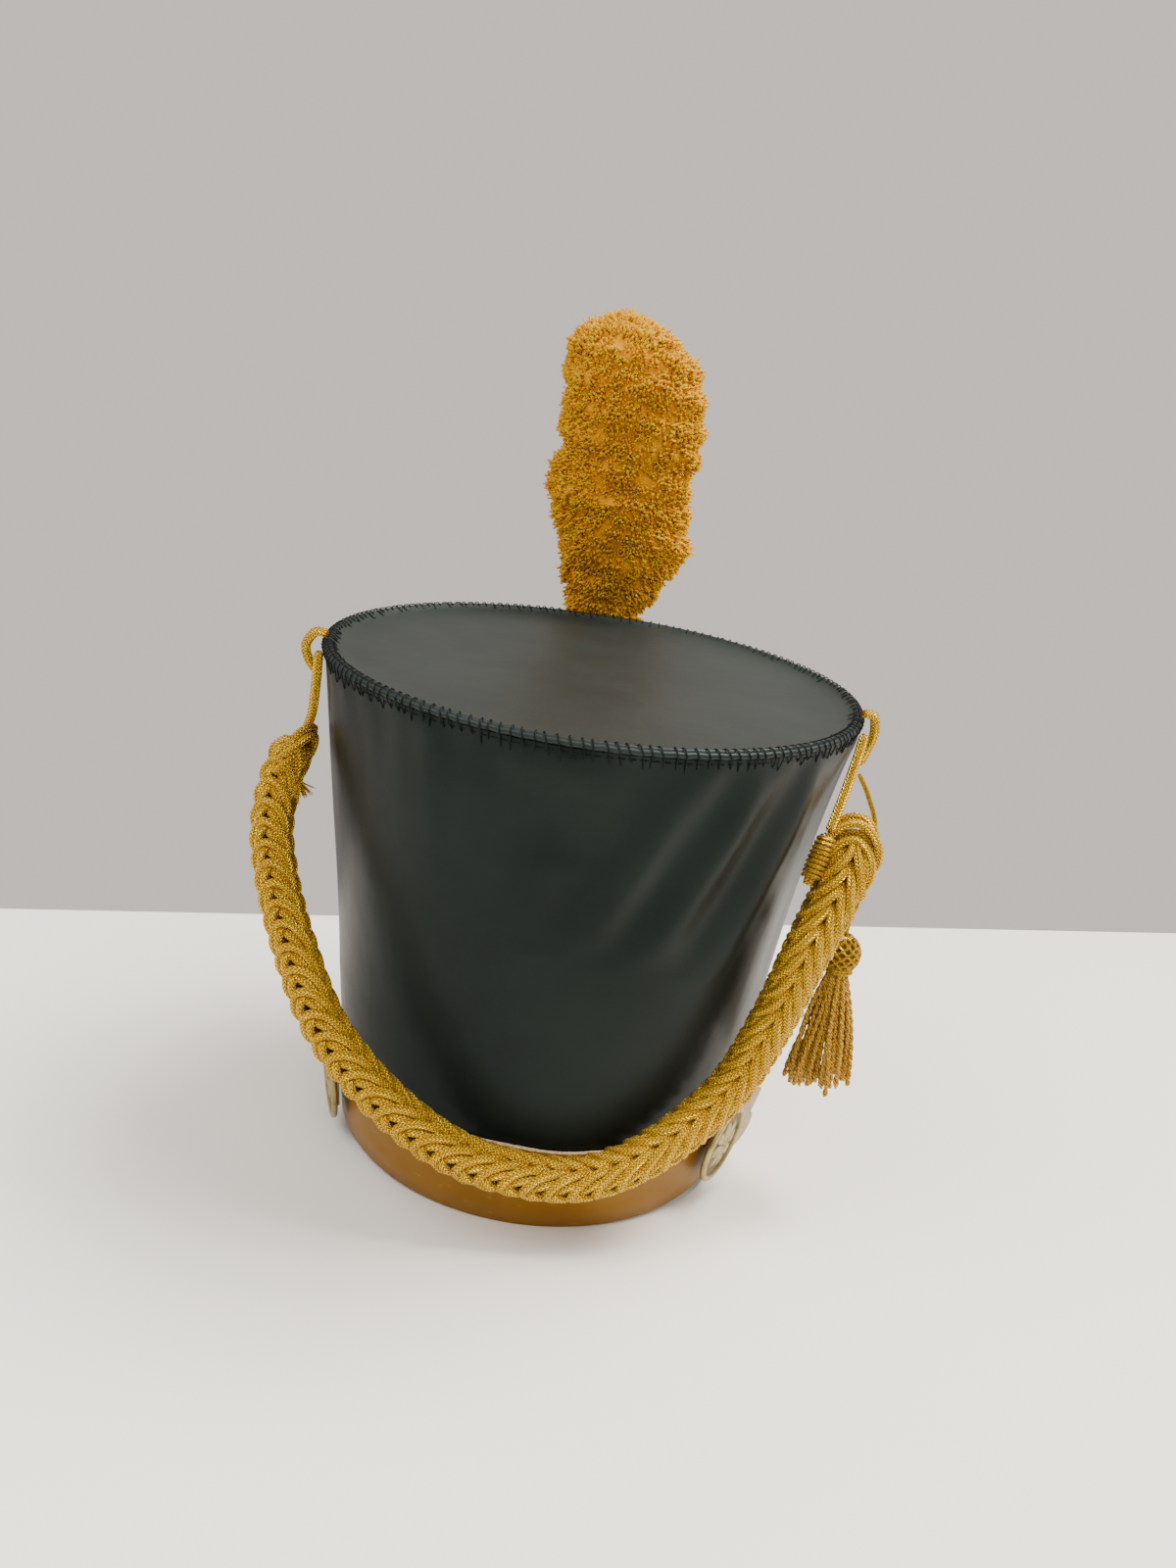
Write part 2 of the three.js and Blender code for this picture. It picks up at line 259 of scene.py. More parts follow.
class Graph:
    """The node tree of one material or of the room."""

    def __init__(self, owner: bpy.types.Material | bpy.types.World) -> None:
        """Empties the node tree of its owner."""
        self.owner = owner
        owner.use_nodes = True
        self.tree = owner.node_tree
        self.tree.nodes.clear()

    @classmethod
    def named(cls, name: str) -> "Graph":
        """The graph of a new material of a name."""
        return cls(bpy.data.materials.new(name))

    def node(self, kind: str, settings: dict | None = None, inputs: dict | None = None) -> bpy.types.Node:
        """Adds a node.

        Args:
            kind: Node type.
            settings: Properties set before the sockets.
            inputs: Values or links by socket name or number.

        Returns:
            The new node.
        """
        node = self.tree.nodes.new(kind)
        for name, setting in (settings or {}).items():
            setattr(node, name, setting)
        for key, value in (inputs or {}).items():
            socket = node.inputs[key]
            if isinstance(value, Value):
                self.tree.links.new(value.socket, socket)
            elif isinstance(value, bpy.types.NodeSocket):
                self.tree.links.new(value, socket)
            else:
                socket.default_value = value
        return node

    def place(self) -> bpy.types.NodeSocket:
        """Object coordinates."""
        return self.node("ShaderNodeTexCoord").outputs["Object"]

    def axis(self, vector: bpy.types.NodeSocket, name: str) -> Value:
        """One component of a vector, by its letter."""
        node = self.node("ShaderNodeSeparateXYZ", None, {0: vector})
        return Value(self, node.outputs[name])

    def uv(self, name: str) -> tuple[Value, Value]:
        """The two components of a UV map."""
        vector = self.node("ShaderNodeUVMap", {"uv_map": name}).outputs["UV"]
        node = self.node("ShaderNodeSeparateXYZ", None, {0: vector})
        return Value(self, node.outputs["X"]), Value(self, node.outputs["Y"])

    def attribute(self, name: str) -> Value:
        """A mesh attribute's value."""
        return Value(self, self.node("ShaderNodeAttribute", {"attribute_name": name}).outputs["Fac"])

    def noise(
        self, scale: float, detail: float = 3.0, stretch: Point = (1.0, 1.0, 1.0), rough: float = 0.5
    ) -> Value:
        """Noise on Object coordinates.

        Args:
            scale: Waves per metre.
            detail: Octaves.
            stretch: Scale along each axis.
            rough: Weight of the finer octaves.

        Returns:
            The noise from 0 to 1.
        """
        mapped = self.node("ShaderNodeMapping", None, {"Vector": self.place(), "Scale": stretch}).outputs[0]
        inputs = {"Vector": mapped, "Scale": scale, "Detail": detail, "Roughness": rough}
        return Value(self, self.node("ShaderNodeTexNoise", None, inputs).outputs["Fac"])

    def cells(self, scale: float) -> Value:
        """Distance to the nearest cell middle on Object coordinates."""
        node = self.node("ShaderNodeTexVoronoi", None, {"Vector": self.place(), "Scale": scale})
        return Value(self, node.outputs["Distance"])

    def mix(self, share: Value | float, first: object, second: object) -> bpy.types.NodeSocket:
        """Colour between two colours or colour sockets."""
        node = self.node("ShaderNodeMix", {"data_type": "RGBA"})
        for index, value in ((0, share), (6, first), (7, second)):
            if isinstance(value, Value):
                self.tree.links.new(value.socket, node.inputs[index])
            elif isinstance(value, bpy.types.NodeSocket):
                self.tree.links.new(value, node.inputs[index])
            elif isinstance(value, tuple):
                node.inputs[index].default_value = (*value, 1.0)
            else:
                node.inputs[index].default_value = value
        return node.outputs[2]

    def bump(self, height: Value, depth: float, strength: float = 1.0) -> bpy.types.NodeSocket:
        """Normal from a height of 0 to 1 over a depth in metres."""
        inputs = {"Height": height, "Distance": depth, "Strength": strength}
        return self.node("ShaderNodeBump", None, inputs).outputs["Normal"]

    def surface(self, **sockets: object) -> bpy.types.Material:
        """Closes the material with a principled surface.

        Args:
            sockets: Values or links, with _ for a space in a socket's name.

        Returns:
            The finished material.
        """
        inputs = {key.replace("_", " "): value for key, value in sockets.items()}
        shader = self.node("ShaderNodeBsdfPrincipled", None, inputs)
        self.node("ShaderNodeOutputMaterial", None, {"Surface": shader.outputs[0]})
        return self.owner


# --------------------------------------------------------------------------------------------------
# Finishes
# --------------------------------------------------------------------------------------------------


@dataclass(frozen=True)
class CrownLeather:
    """Dark green-black leatherette with a satin coat, a fine grain and rubbed patches."""

    name: str = "crown_leather"
    dark: Colour = (0.0040, 0.0062, 0.0056)
    worn: Colour = (0.0066, 0.0100, 0.0092)
    roughness: float = 0.37
    specular: float = 0.10

    def material(self) -> bpy.types.Material:
        """Builds the material."""
        graph = Graph.named(self.name)
        clouds = graph.noise(14.0, 4.0)
        grain = graph.noise(1500.0, 2.0)
        pores = graph.cells(900.0)
        colour = graph.mix(clouds.between(0.35, 0.7), self.dark, self.worn)
        rough = self.roughness + (graph.noise(26.0, 3.0) - 0.5) * 0.14 + (grain - 0.5) * 0.1
        dents = graph.noise(55.0, 2.0, (1.0, 1.0, 0.6))
        height = grain * 0.35 + pores * 0.4 + dents * 6.0
        return graph.surface(
            Base_Color=colour, Roughness=rough, Normal=graph.bump(height, 0.00005),
            Specular_IOR_Level=self.specular, Specular_Tint=(0.84, 1.0, 0.96, 1.0),
        )


@dataclass(frozen=True)
class GoldLeather:
    """Gold-tan leatherette of the band, rubbed lighter in patches."""

    name: str = "gold_leather"
    deep: Colour = (0.195, 0.083, 0.003)
    light: Colour = (0.26, 0.12, 0.007)
    roughness: float = 0.4

    def material(self) -> bpy.types.Material:
        """Builds the material."""
        graph = Graph.named(self.name)
        clouds = graph.noise(24.0, 4.0)
        grain = graph.noise(1700.0, 2.0)
        scuffs = graph.noise(160.0, 3.0, (1.0, 1.0, 3.0)).between(0.62, 0.78)
        colour = graph.mix(clouds.between(0.3, 0.72), self.deep, self.light)
        colour = graph.mix(scuffs * 0.35, colour, (0.48, 0.28, 0.07))
        rough = self.roughness + (clouds - 0.5) * 0.2 + scuffs * 0.12
        height = grain * 0.4 + graph.noise(70.0, 2.0) * 4.0
        return graph.surface(
            Base_Color=colour, Roughness=rough, Normal=graph.bump(height, 0.00005),
            Metallic=0.12, Specular_IOR_Level=0.2,
        )


@dataclass(frozen=True)
class CutEdge:
    """Pale raw edge of the band's leather."""

    name: str = "pale_cut_edge"
    pale: Colour = (0.72, 0.52, 0.28)
    deep: Colour = (0.48, 0.27, 0.09)

    def material(self) -> bpy.types.Material:
        """Builds the material."""
        graph = Graph.named(self.name)
        fibres = graph.noise(900.0, 3.0, (1.0, 1.0, 0.3))
        colour = graph.mix(fibres.between(0.35, 0.65), self.deep, self.pale)
        return graph.surface(Base_Color=colour, Roughness=0.75, Normal=graph.bump(fibres, 0.00008))


@dataclass(frozen=True)
class MetallicCord:
    """Knitted gold cord: columns of small slanted stitches, with painted shade in the gutters, painted
    highlight on the threads, and painted highlight flecks, a little glossier, along the strand.
    """

    name: str = "gold_cord"
    # Painted shade and painted highlight: shade is the colour painted into the gutters between threads,
    # bright the colour painted on the threads' crowns.
    shade: Colour = (0.25, 0.105, 0.0005)
    bright: Colour = (0.98, 0.57, 0.005)
    columns: float = 6.0
    row_length: float = 1.5 * MM
    metallic: float = 0.7
    roughness: float = 0.3

    def material(self) -> bpy.types.Material:
        """Builds the material."""
        graph = Graph.named(self.name)
        along, around = graph.uv("strand")
        column = (around * self.columns).fraction()
        slope = (column - 0.5).absolute() * 2.0
        row = ((along / self.row_length) + slope * 0.9) * (2.0 * math.pi)
        thread = row.sine() * 0.5 + 0.5
        gutter = slope.between(0.78, 1.0)
        # Painted shade and highlight: this mask runs from the gutters' painted shade to the threads' painted
        # highlight and sets the colour.
        lit = (thread * (1.0 - gutter * 0.7)).between(0.12, 0.85)
        tone = graph.noise(120.0, 2.0)
        # Painted highlight: flecks where a pale gold sparkle is painted into the colour.
        painted_glint = graph.noise(900.0, 1.0).between(0.50, 0.64)
        colour = graph.mix(lit, self.shade, self.bright)
        colour = graph.mix((tone - 0.5).absolute() * 0.4, colour, (0.42, 0.19, 0.002))
        colour = graph.mix(painted_glint * lit, colour, (1.0, 0.76, 0.08))
        rough = self.roughness + (1.0 - lit) * 0.3 - painted_glint * 0.1
        height = thread * (1.0 - gutter)
        return graph.surface(
            Base_Color=colour, Roughness=rough, Normal=graph.bump(height, 0.0005),
            Metallic=self.metallic,
        )


@dataclass(frozen=True)
class TwistedYarn:
    """Old-gold twisted yarn of the tassel's fringe, with painted shade in the twist's grooves and painted
    highlight on the plies.
    """

    name: str = "gold_yarn"
    shade: Colour = (0.22, 0.095, 0.002)
    bright: Colour = (0.66, 0.37, 0.02)

    def material(self) -> bpy.types.Material:
        """Builds the material."""
        graph = Graph.named(self.name)
        along, around = graph.uv("strand")
        ply = ((along / (1.7 * MM) + around * 3.0) * (2.0 * math.pi)).sine() * 0.5 + 0.5
        # Painted shade and highlight: the colour follows the twist, shade in the grooves and bright on the
        # plies' crowns.
        colour = graph.mix(ply.between(0.1, 0.9), self.shade, self.bright)
        return graph.surface(
            Base_Color=colour, Roughness=0.5, Metallic=0.3, Normal=graph.bump(ply, 0.0003),
        )


@dataclass(frozen=True)
class PlumeWool:
    """Golden yellow wool with painted shade and light: roots and hollows painted deep orange for the shade in
    the pile, tips painted lighter and yellower for the light on the cut ends.
    """

    name: str = "plume_wool"
    # Painted shade at the roots and painted light at the tips; the body colour lies between them.
    root: Colour = (0.60, 0.22, 0.0)
    body: Colour = (0.58, 0.27, 0.0)
    tip: Colour = (0.56, 0.37, 0.0)

    def material(self) -> bpy.types.Material:
        """Builds the material."""
        graph = Graph.named(self.name)
        pile_shade_and_tone = graph.attribute("pile_shade_and_tone")
        # The attribute paints shade near the fibres' roots and light at their tips, mixed with each tuft's
        # random tone.
        colour = graph.mix(pile_shade_and_tone.between(0.0, 0.5), self.root, self.body)
        colour = graph.mix(pile_shade_and_tone.between(0.55, 1.0), colour, self.tip)
        return graph.surface(
            Base_Color=colour, Roughness=0.75, Specular_IOR_Level=0.12,
            Normal=graph.bump(graph.noise(420.0, 3.0), 0.0006),
        )


@dataclass(frozen=True)
class PlatedMetal:
    """Plated pressing with dark wax left in its hollows."""

    name: str
    bright: Colour
    dull: Colour
    roughness: float

    def material(self) -> bpy.types.Material:
        """Builds the material."""
        graph = Graph.named(self.name)
        depth = graph.attribute("hollow")
        smears = graph.noise(240.0, 4.0)
        dulled = (depth * 0.85 + smears.between(0.45, 0.8) * 0.4).lower(1.0)
        colour = graph.mix(dulled, self.bright, self.dull)
        rough = self.roughness + dulled * 0.25
        height = graph.noise(1200.0, 2.0)
        return graph.surface(
            Base_Color=colour, Roughness=rough, Metallic=0.9, Normal=graph.bump(height, 0.00004),
        )


@dataclass(frozen=True)
class SewingThread:
    """Waxed dark thread of the seam, with painted shade in the twist's grooves and painted highlight on the
    plies.
    """

    name: str = "seam_thread"
    shade: Colour = (0.0012, 0.002, 0.0018)
    bright: Colour = (0.006, 0.010, 0.009)

    def material(self) -> bpy.types.Material:
        """Builds the material."""
        graph = Graph.named(self.name)
        along, around = graph.uv("strand")
        ply = ((along / (0.9 * MM) + around * 2.0) * (2.0 * math.pi)).sine() * 0.5 + 0.5
        # Painted shade and highlight: the colour follows the twist, shade in the grooves and bright on the
        # plies' crowns.
        colour = graph.mix(ply, self.shade, self.bright)
        return graph.surface(
            Base_Color=colour, Roughness=0.6, Specular_IOR_Level=0.12, Normal=graph.bump(ply, 0.0001),
        )


@dataclass(frozen=True)
class TableTop:
    """Pale satin table."""

    name: str = "table_top"
    pale: Colour = (0.89, 0.86, 0.79)
    shade: Colour = (0.855, 0.825, 0.755)

    def material(self) -> bpy.types.Material:
        """Builds the material."""
        graph = Graph.named(self.name)
        clouds = graph.noise(2.5, 3.0)
        colour = graph.mix(clouds, self.shade, self.pale)
        return graph.surface(Base_Color=colour, Roughness=0.42, Specular_IOR_Level=0.35)


class Finish(Enum):
    """The finishes of the hat, by the record's material slot."""

    CROWN_LEATHER = CrownLeather()
    TOP_LEATHER = CrownLeather("top_leather", (0.0055, 0.0082, 0.0068), (0.0095, 0.0125, 0.0105), 0.5, 0.28)
    GOLD_LEATHER = GoldLeather()
    CUT_EDGE = CutEdge()
    GOLD_CORD = MetallicCord()
    GOLD_YARN = TwistedYarn()
    PLUME_WOOL = PlumeWool()
    PALE_GOLD = PlatedMetal("pale_gold", (0.40, 0.32, 0.14), (0.09, 0.062, 0.024), 0.36)
    BRONZE_PLATE = PlatedMetal("bronze_plate", (0.36, 0.27, 0.16), (0.20, 0.14, 0.075), 0.42)
    THREAD = SewingThread()
    TABLE = TableTop()


class Palette:
    """Makes each finish's material once."""

    def __init__(self) -> None:
        """Starts with no materials."""
        self._made: dict[Finish, bpy.types.Material] = {}

    def material(self, finish: Finish) -> bpy.types.Material:
        """The material of a finish."""
        if finish not in self._made:
            self._made[finish] = finish.value.material()
        return self._made[finish]


# --------------------------------------------------------------------------------------------------
# Mesh making
# --------------------------------------------------------------------------------------------------


def deselect_all() -> None:
    """Leaves nothing selected."""
    for item in bpy.context.view_layer.objects:
        item.select_set(False)


def pick(piece: bpy.types.Object) -> None:
    """Makes one object the only selected and the active one."""
    deselect_all()
    piece.select_set(True)
    bpy.context.view_layer.objects.active = piece


@contextmanager
def editing(piece: bpy.types.Object) -> Iterator[bmesh.types.BMesh]:
    """Edit mode on a piece, with nothing selected at first.

    Args:
        piece: The object to edit.

    Yields:
        Its edit mesh.
    """
    pick(piece)
    bpy.ops.object.mode_set(mode="EDIT")
    bpy.ops.mesh.select_all(action="DESELECT")
    yield bmesh.from_edit_mesh(piece.data)
    bpy.ops.object.mode_set(mode="OBJECT")


def choose_edges(mesh: bpy.types.Mesh, wanted: Callable[[bmesh.types.BMEdge], bool]) -> None:
    """Selects the edges of the mesh in edit mode that a test accepts."""
    bpy.ops.mesh.select_mode(type="EDGE")
    edit = bmesh.from_edit_mesh(mesh)
    for edge in edit.edges:
        edge.select_set(wanted(edge))
    bmesh.update_edit_mesh(mesh)


def apply_modifier(piece: bpy.types.Object, kind: str, **settings: object) -> None:
    """Adds a modifier of a kind to a piece and applies it."""
    pick(piece)
    modifier = piece.modifiers.new(kind.lower(), kind)
    for name, setting in settings.items():
        setattr(modifier, name, setting)
    bpy.ops.object.modifier_apply(modifier=modifier.name)


def shaped(piece: bpy.types.Object, move: Callable[[Vector], Vector]) -> None:
    """Moves every vertex of a piece by a function of its place."""
    for vertex in piece.data.vertices:
        vertex.co = move(vertex.co)
    piece.data.update()


def object_from(name: str, vertices: np.ndarray, faces: Sequence[Sequence[int]]) -> bpy.types.Object:
    """A new object from arrays of vertices and faces."""
    mesh = bpy.data.meshes.new(name)
    mesh.from_pydata(vertices.tolist(), [], faces)
    mesh.update()
    piece = bpy.data.objects.new(name, mesh)
    bpy.context.scene.collection.objects.link(piece)
    return piece


def spun(name: str, profile: Sequence[tuple[float, float]], steps: int) -> bpy.types.Object:
    """A closed piece of revolution about Z.

    Args:
        name: Name of the piece.
        profile: Radius and height of each point in metres; it starts and ends on the axis or meets itself.
        steps: Steps round.

    Returns:
        The new object.
    """
    mesh = bpy.data.meshes.new(name)
    points = [(radius, 0.0, z) for radius, z in profile]
    mesh.from_pydata(points, [(i, i + 1) for i in range(len(points) - 1)], [])
    piece = bpy.data.objects.new(name, mesh)
    bpy.context.scene.collection.objects.link(piece)
    with editing(piece):
        bpy.ops.mesh.select_all(action="SELECT")
        bpy.ops.mesh.spin(steps=steps, angle=2.0 * math.pi, center=(0, 0, 0), axis=(0, 0, 1))
        bpy.ops.mesh.select_all(action="SELECT")
        bpy.ops.mesh.remove_doubles(threshold=0.01 * MM)
        bpy.ops.mesh.normals_make_consistent(inside=False)
    return piece


def joined(name: str, pieces: Sequence[bpy.types.Object]) -> bpy.types.Object:
    """Several objects made one."""
    pick(pieces[0])
    for piece in pieces:
        piece.select_set(True)
    bpy.ops.object.join()
    result = bpy.context.view_layer.objects.active
    result.name = name
    result.data.name = name
    return result


def smooth_line(points: Sequence[Vector], per_span: int) -> np.ndarray:
    """Points of a Catmull-Rom line through given points.

    Args:
        points: At least two points.
        per_span: Steps between neighbours.

    Returns:
        An array of points, one row each.
    """
    given = np.array([tuple(point) for point in points], float)
    padded = np.vstack([2 * given[0] - given[1], given, 2 * given[-1] - given[-2]])
    share = np.linspace(0.0, 1.0, per_span, endpoint=False)[:, None]
    spans = []
    for i in range(1, len(padded) - 2):
        a, b, c, d = padded[i - 1 : i + 3]
        spans.append(
            0.5 * (
                2 * b + (c - a) * share + (2 * a - 5 * b + 4 * c - d) * share**2
                + (3 * b - a - 3 * c + d) * share**3
            )
        )
    return np.vstack([*spans, given[-1:]])


def line_length(line: np.ndarray) -> float:
    """Length of a line of points."""
    return float(np.linalg.norm(np.diff(line, axis=0), axis=1).sum())


@dataclass
class Strand:
    """A round strand along a line, with the UV map that cord finishes read."""

    line: np.ndarray
    radius: float
    sides: int = 8
    end_scale: float = 0.6
    radii: np.ndarray | None = None

    def rings(self) -> np.ndarray:
        """Ring of points round each point of the line."""
        line = self.line
        ahead = np.gradient(line, axis=0)
        ahead /= np.linalg.norm(ahead, axis=1)[:, None] + 1e-12
        side = np.cross(ahead[0], [0.3, 0.2, 0.93])
        side /= np.linalg.norm(side)
        turns = np.arange(self.sides) * 2.0 * np.pi / self.sides
        radii = np.full(len(line), self.radius) if self.radii is None else self.radii
        radii = radii.copy()
        radii[0] *= self.end_scale
        radii[-1] *= self.end_scale
        rings = []
        for point, forward, radius in zip(line, ahead, radii):
            side = side - forward * np.dot(side, forward)
            side /= np.linalg.norm(side)
            up = np.cross(forward, side)
            rings.append(point + radius * (np.outer(np.cos(turns), side) + np.outer(np.sin(turns), up)))
        return np.array(rings)

    def build(self, name: str) -> bpy.types.Object:
        """Builds the strand's object."""
        rings = self.rings()
        count, sides = rings.shape[:2]
        faces = []
        uvs = []
        steps = np.linalg.norm(np.diff(self.line, axis=0), axis=1)
        reach = np.concatenate([[0.0], np.cumsum(steps)])
        for i in range(count - 1):
            for j in range(sides):
                k = (j + 1) % sides
                faces.append((i * sides + j, i * sides + k, (i + 1) * sides + k, (i + 1) * sides + j))
                low, high = j / sides, (j + 1) / sides
                uvs.extend([(reach[i], low), (reach[i], high), (reach[i + 1], high), (reach[i + 1], low)])
        last = (count - 1) * sides
        faces.append(tuple(range(sides - 1, -1, -1)))
        faces.append(tuple(range(last, last + sides)))
        uvs.extend([(0.0, 0.0)] * (2 * sides))
        piece = object_from(name, rings.reshape(-1, 3), faces)
        layer = piece.data.uv_layers.new(name="strand")
        layer.data.foreach_set("uv", np.array(uvs, np.float32).ravel())
        return piece


class Fitter:
    """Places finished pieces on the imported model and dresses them."""

    def __init__(self, form: HatForm, palette: Palette) -> None:
        """Keeps the hat's form and its materials."""
        self.form = form
        self.palette = palette

    def fit(
        self,
        piece: bpy.types.Object,
        finishes: Sequence[Finish],
        nodes: Sequence[str] = (),
        place: Matrix | None = None,
        crease: float = 50.0,
    ) -> bpy.types.Object:
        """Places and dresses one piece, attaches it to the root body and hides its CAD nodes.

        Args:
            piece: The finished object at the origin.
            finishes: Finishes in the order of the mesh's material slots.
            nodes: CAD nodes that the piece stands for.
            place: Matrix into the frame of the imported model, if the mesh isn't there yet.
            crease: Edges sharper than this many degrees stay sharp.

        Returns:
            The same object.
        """
        if place is not None:
            piece.data.transform(place)
        for index, finish in enumerate(finishes):
            material = self.palette.material(finish)
            if index < len(piece.data.materials):
                piece.data.materials[index] = material
            else:
                piece.data.materials.append(material)
        pick(piece)
        bpy.ops.object.shade_smooth_by_angle(angle=math.radians(crease))
        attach(piece, "root")
        if nodes:
            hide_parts(*nodes)
        LOG.info("%s: %d faces", piece.name, len(piece.data.polygons))
        return piece


# --------------------------------------------------------------------------------------------------
# Leather parts
# --------------------------------------------------------------------------------------------------


@dataclass
class Crown:
    """The crown's wall and top with the seam that joins them."""

    form: HatForm
    round_steps: int = 288
    wall: float = 2.0 * MM
    seam_drop: float = 3.3 * MM
    stitches: int = 176
    thread_radius: float = 0.29 * MM
    low_edge: float = 1.0 * MM
    under_band: float = 1.9 * MM
    pucker_depth: float = 0.75 * MM
    pucker_reach: float = 20 * MM
    loose_depth: float = 0.35 * MM
    wall_rows: int = 80
    sewing_drop: float = 5.0 * MM
    rng: np.random.Generator = field(default_factory=lambda: np.random.default_rng(SEED))

    def leather_radius(self, angle: float, z: float) -> float:
        """Outer radius of the folded wall at an angle in degrees and a height in metres."""
        top = self.form.height - self.seam_drop
        share = (top - max(z, self.form.band_height)) / (top - self.form.band_height)
        rise = sum(fold.rise_at(angle, z / MM) for fold in FOLDS) * MM
        loose = math.sin(math.radians(angle) * 5.0 + z * 40.0) * math.sin(z / self.form.height * math.pi)
        turn, below = math.radians(angle), (top - z) / self.pucker_reach
        ripple = math.sin(13 * turn + 1.0) + 0.8 * math.sin(23 * turn + 2.2) + 0.6 * math.sin(41 * turn + 0.4)
        pucker = ripple * math.exp(-below) * (1.0 - math.exp(-below * 5.0)) * self.pucker_depth
        keep = 1.0 if z > self.form.band_height + 4 * MM else 0.0
        drawn_in = self.under_band * share
        return self.form.radius(z) - drawn_in + rise + loose * self.loose_depth * keep + pucker

    def wall_piece(self) -> bpy.types.Object:
        """The open flared wall, from a tube that is cut into rows and drawn out to its folds."""
        top = self.form.height - self.seam_drop
        height = top - self.low_edge
        bpy.ops.mesh.primitive_cylinder_add(
            vertices=self.round_steps, radius=self.form.rim_radius, depth=height, end_fill_type="NOTHING",
            location=(0, 0, self.low_edge + height / 2),
        )
        piece = bpy.context.active_object
        piece.name = "crown_wall"
        pick(piece)
        bpy.ops.object.transform_apply(location=True, rotation=True, scale=True)
        with editing(piece):
            choose_edges(piece.data, lambda edge: abs(edge.verts[0].co.z - edge.verts[1].co.z) > height / 2)
            bpy.ops.mesh.subdivide(number_cuts=self.wall_rows - 1)

        def drawn(co: Vector) -> Vector:
            """The vertex's place on the folded wall."""
            angle = math.degrees(math.atan2(co.x, co.y))
            radius = self.leather_radius(angle, co.z)
            return self.form.direction(angle) * radius + Vector((0, 0, co.z))

        shaped(piece, drawn)
        apply_modifier(piece, "SOLIDIFY", thickness=self.wall, offset=-1.0, use_even_offset=True)
        return piece

    def top_piece(self) -> bpy.types.Object:
        """The flat top, spun from its profile, with the two raised edges of the seam."""
        high = self.form.height
        rim = self.form.top_radius
        rows = [
            (0, -6.2), (40, -6.0), (80, -5.7), (104, -5.4), (108, -4.9), (111.2, -4.6), (113.6, -4.2),
            (113.9, -3.1), (116.4, -3.0), (118.1, -2.9), (118.5, -2.4), (118.55, -1.6), (118.2, -0.9),
            (117.6, -0.6), (117.05, -0.75), (116.8, -1.3), (116.6, -0.9), (116.3, -0.25), (115.8, 0.0),
            (115.2, -0.15),
            (114.4, -0.7), (113.2, -1.5), (111, -2.4), (106, -3.1), (96, -3.6), (80, -3.9), (60, -4.1),
            (30, -4.2), (0, -4.2),
        ]
        profile = [(radius * MM * rim / (118 * MM), high + rise * MM) for radius, rise in rows]
        piece = spun("crown_top_leather", profile, self.round_steps)

        def worked(co: Vector) -> Vector:
            """Draws the edge in at each stitch and lets the disc lie a little uneven."""
            radius = math.hypot(co.x, co.y)
            turn = math.atan2(co.x, co.y)
            pull = max(0.0, (radius - rim * 0.94) / (rim * 0.06))
            pucker = 0.14 * MM * pull * math.cos(turn * self.stitches / 2.0)
            swell = 0.45 * MM * math.sin(co.x * 38.0 + 0.7) * math.cos(co.y * 31.0) * (1.0 - pull)
            return co + Vector((0, 0, pucker + swell))

        shaped(piece, worked)
        return piece

    def stitch_line(self, angle: float, slant: float, reach: float, drop: float) -> np.ndarray:
        """Line of one overcast stitch from the disc over the seam to the wall.

        Args:
            angle: Degrees from the rear towards the left.
            slant: Degrees that the stitch leans along the seam.
            reach: How far it reaches onto the disc, in metres.
            drop: How far it reaches down the wall, in metres.

        Returns:
            Points on the upright hat.
        """
        high, rim, thread = self.form.height, self.form.top_radius, self.thread_radius
        places = [
            (rim - 2.6 * MM - reach, high - 2.4 * MM, 1.0), (rim - 3.6 * MM, high - 0.3 * MM, 0.55),
            (rim - 2.2 * MM, high + 0.5 * MM, 0.3), (rim - 0.2 * MM, high + 0.0 * MM, 0.0),
            (rim + 0.95 * MM, high - 1.9 * MM, -0.3), (rim + 0.5 * MM, high - 3.9 * MM, -0.55),
            (self.leather_radius(angle, high - drop) + 0.6 * thread, high - drop, -1.0),
            (self.leather_radius(angle, high - drop) - 1.5 * thread, high - drop - 0.5 * MM, -1.05),
        ]
        first = (rim - 3.0 * MM - reach, high - 3.6 * MM, 1.05)
        return np.array([
            tuple(self.form.direction(angle + slant * lean) * radius + Vector((0, 0, z)))
            for radius, z, lean in [first, *places]
        ])

    def seam_piece(self) -> bpy.types.Object:
        """Overcast stitches round the top seam, with their loose thread ends and a line of thread below."""
        strands = []
        for index in range(self.stitches):
            angle = 360.0 * index / self.stitches + self.rng.uniform(-0.35, 0.35)
            slant = self.rng.uniform(0.2, 1.1)
            reach = self.rng.uniform(1.4, 3.8) * MM
            drop = self.rng.uniform(5.6, 8.6) * MM
            line = self.stitch_line(angle, slant, reach, drop)
            strands.append(Strand(line, self.thread_radius, 5).build("stitch"))
            strands.append(self.thread_end(line[1], angle))
            if index % 2 == 0:
                strands.append(self.thread_end(line[-3], angle))
        for index in range(self.stitches):
            strands.append(self.running_stitch(360.0 * (index + 0.5) / self.stitches))
        return joined("seam_stitches", strands)

    def thread_end(self, start: np.ndarray, angle: float) -> bpy.types.Object:
        """A short loose end that stands off the leather at a stitch."""
        outward = np.array(self.form.direction(angle))
        along = np.array([outward[1], -outward[0], 0.0])
        lean = self.rng.uniform(-1.0, 1.0)
        length = self.rng.uniform(1.6, 3.2) * MM
        way = outward * 0.35 + along * lean + np.array([0, 0, self.rng.uniform(0.15, 0.8)])
        way /= np.linalg.norm(way)
        line = np.array([start, start + way * length * 0.5, start + way * length + along * 0.3 * MM])
        return Strand(line, self.thread_radius * 0.42, 4).build("thread_end")

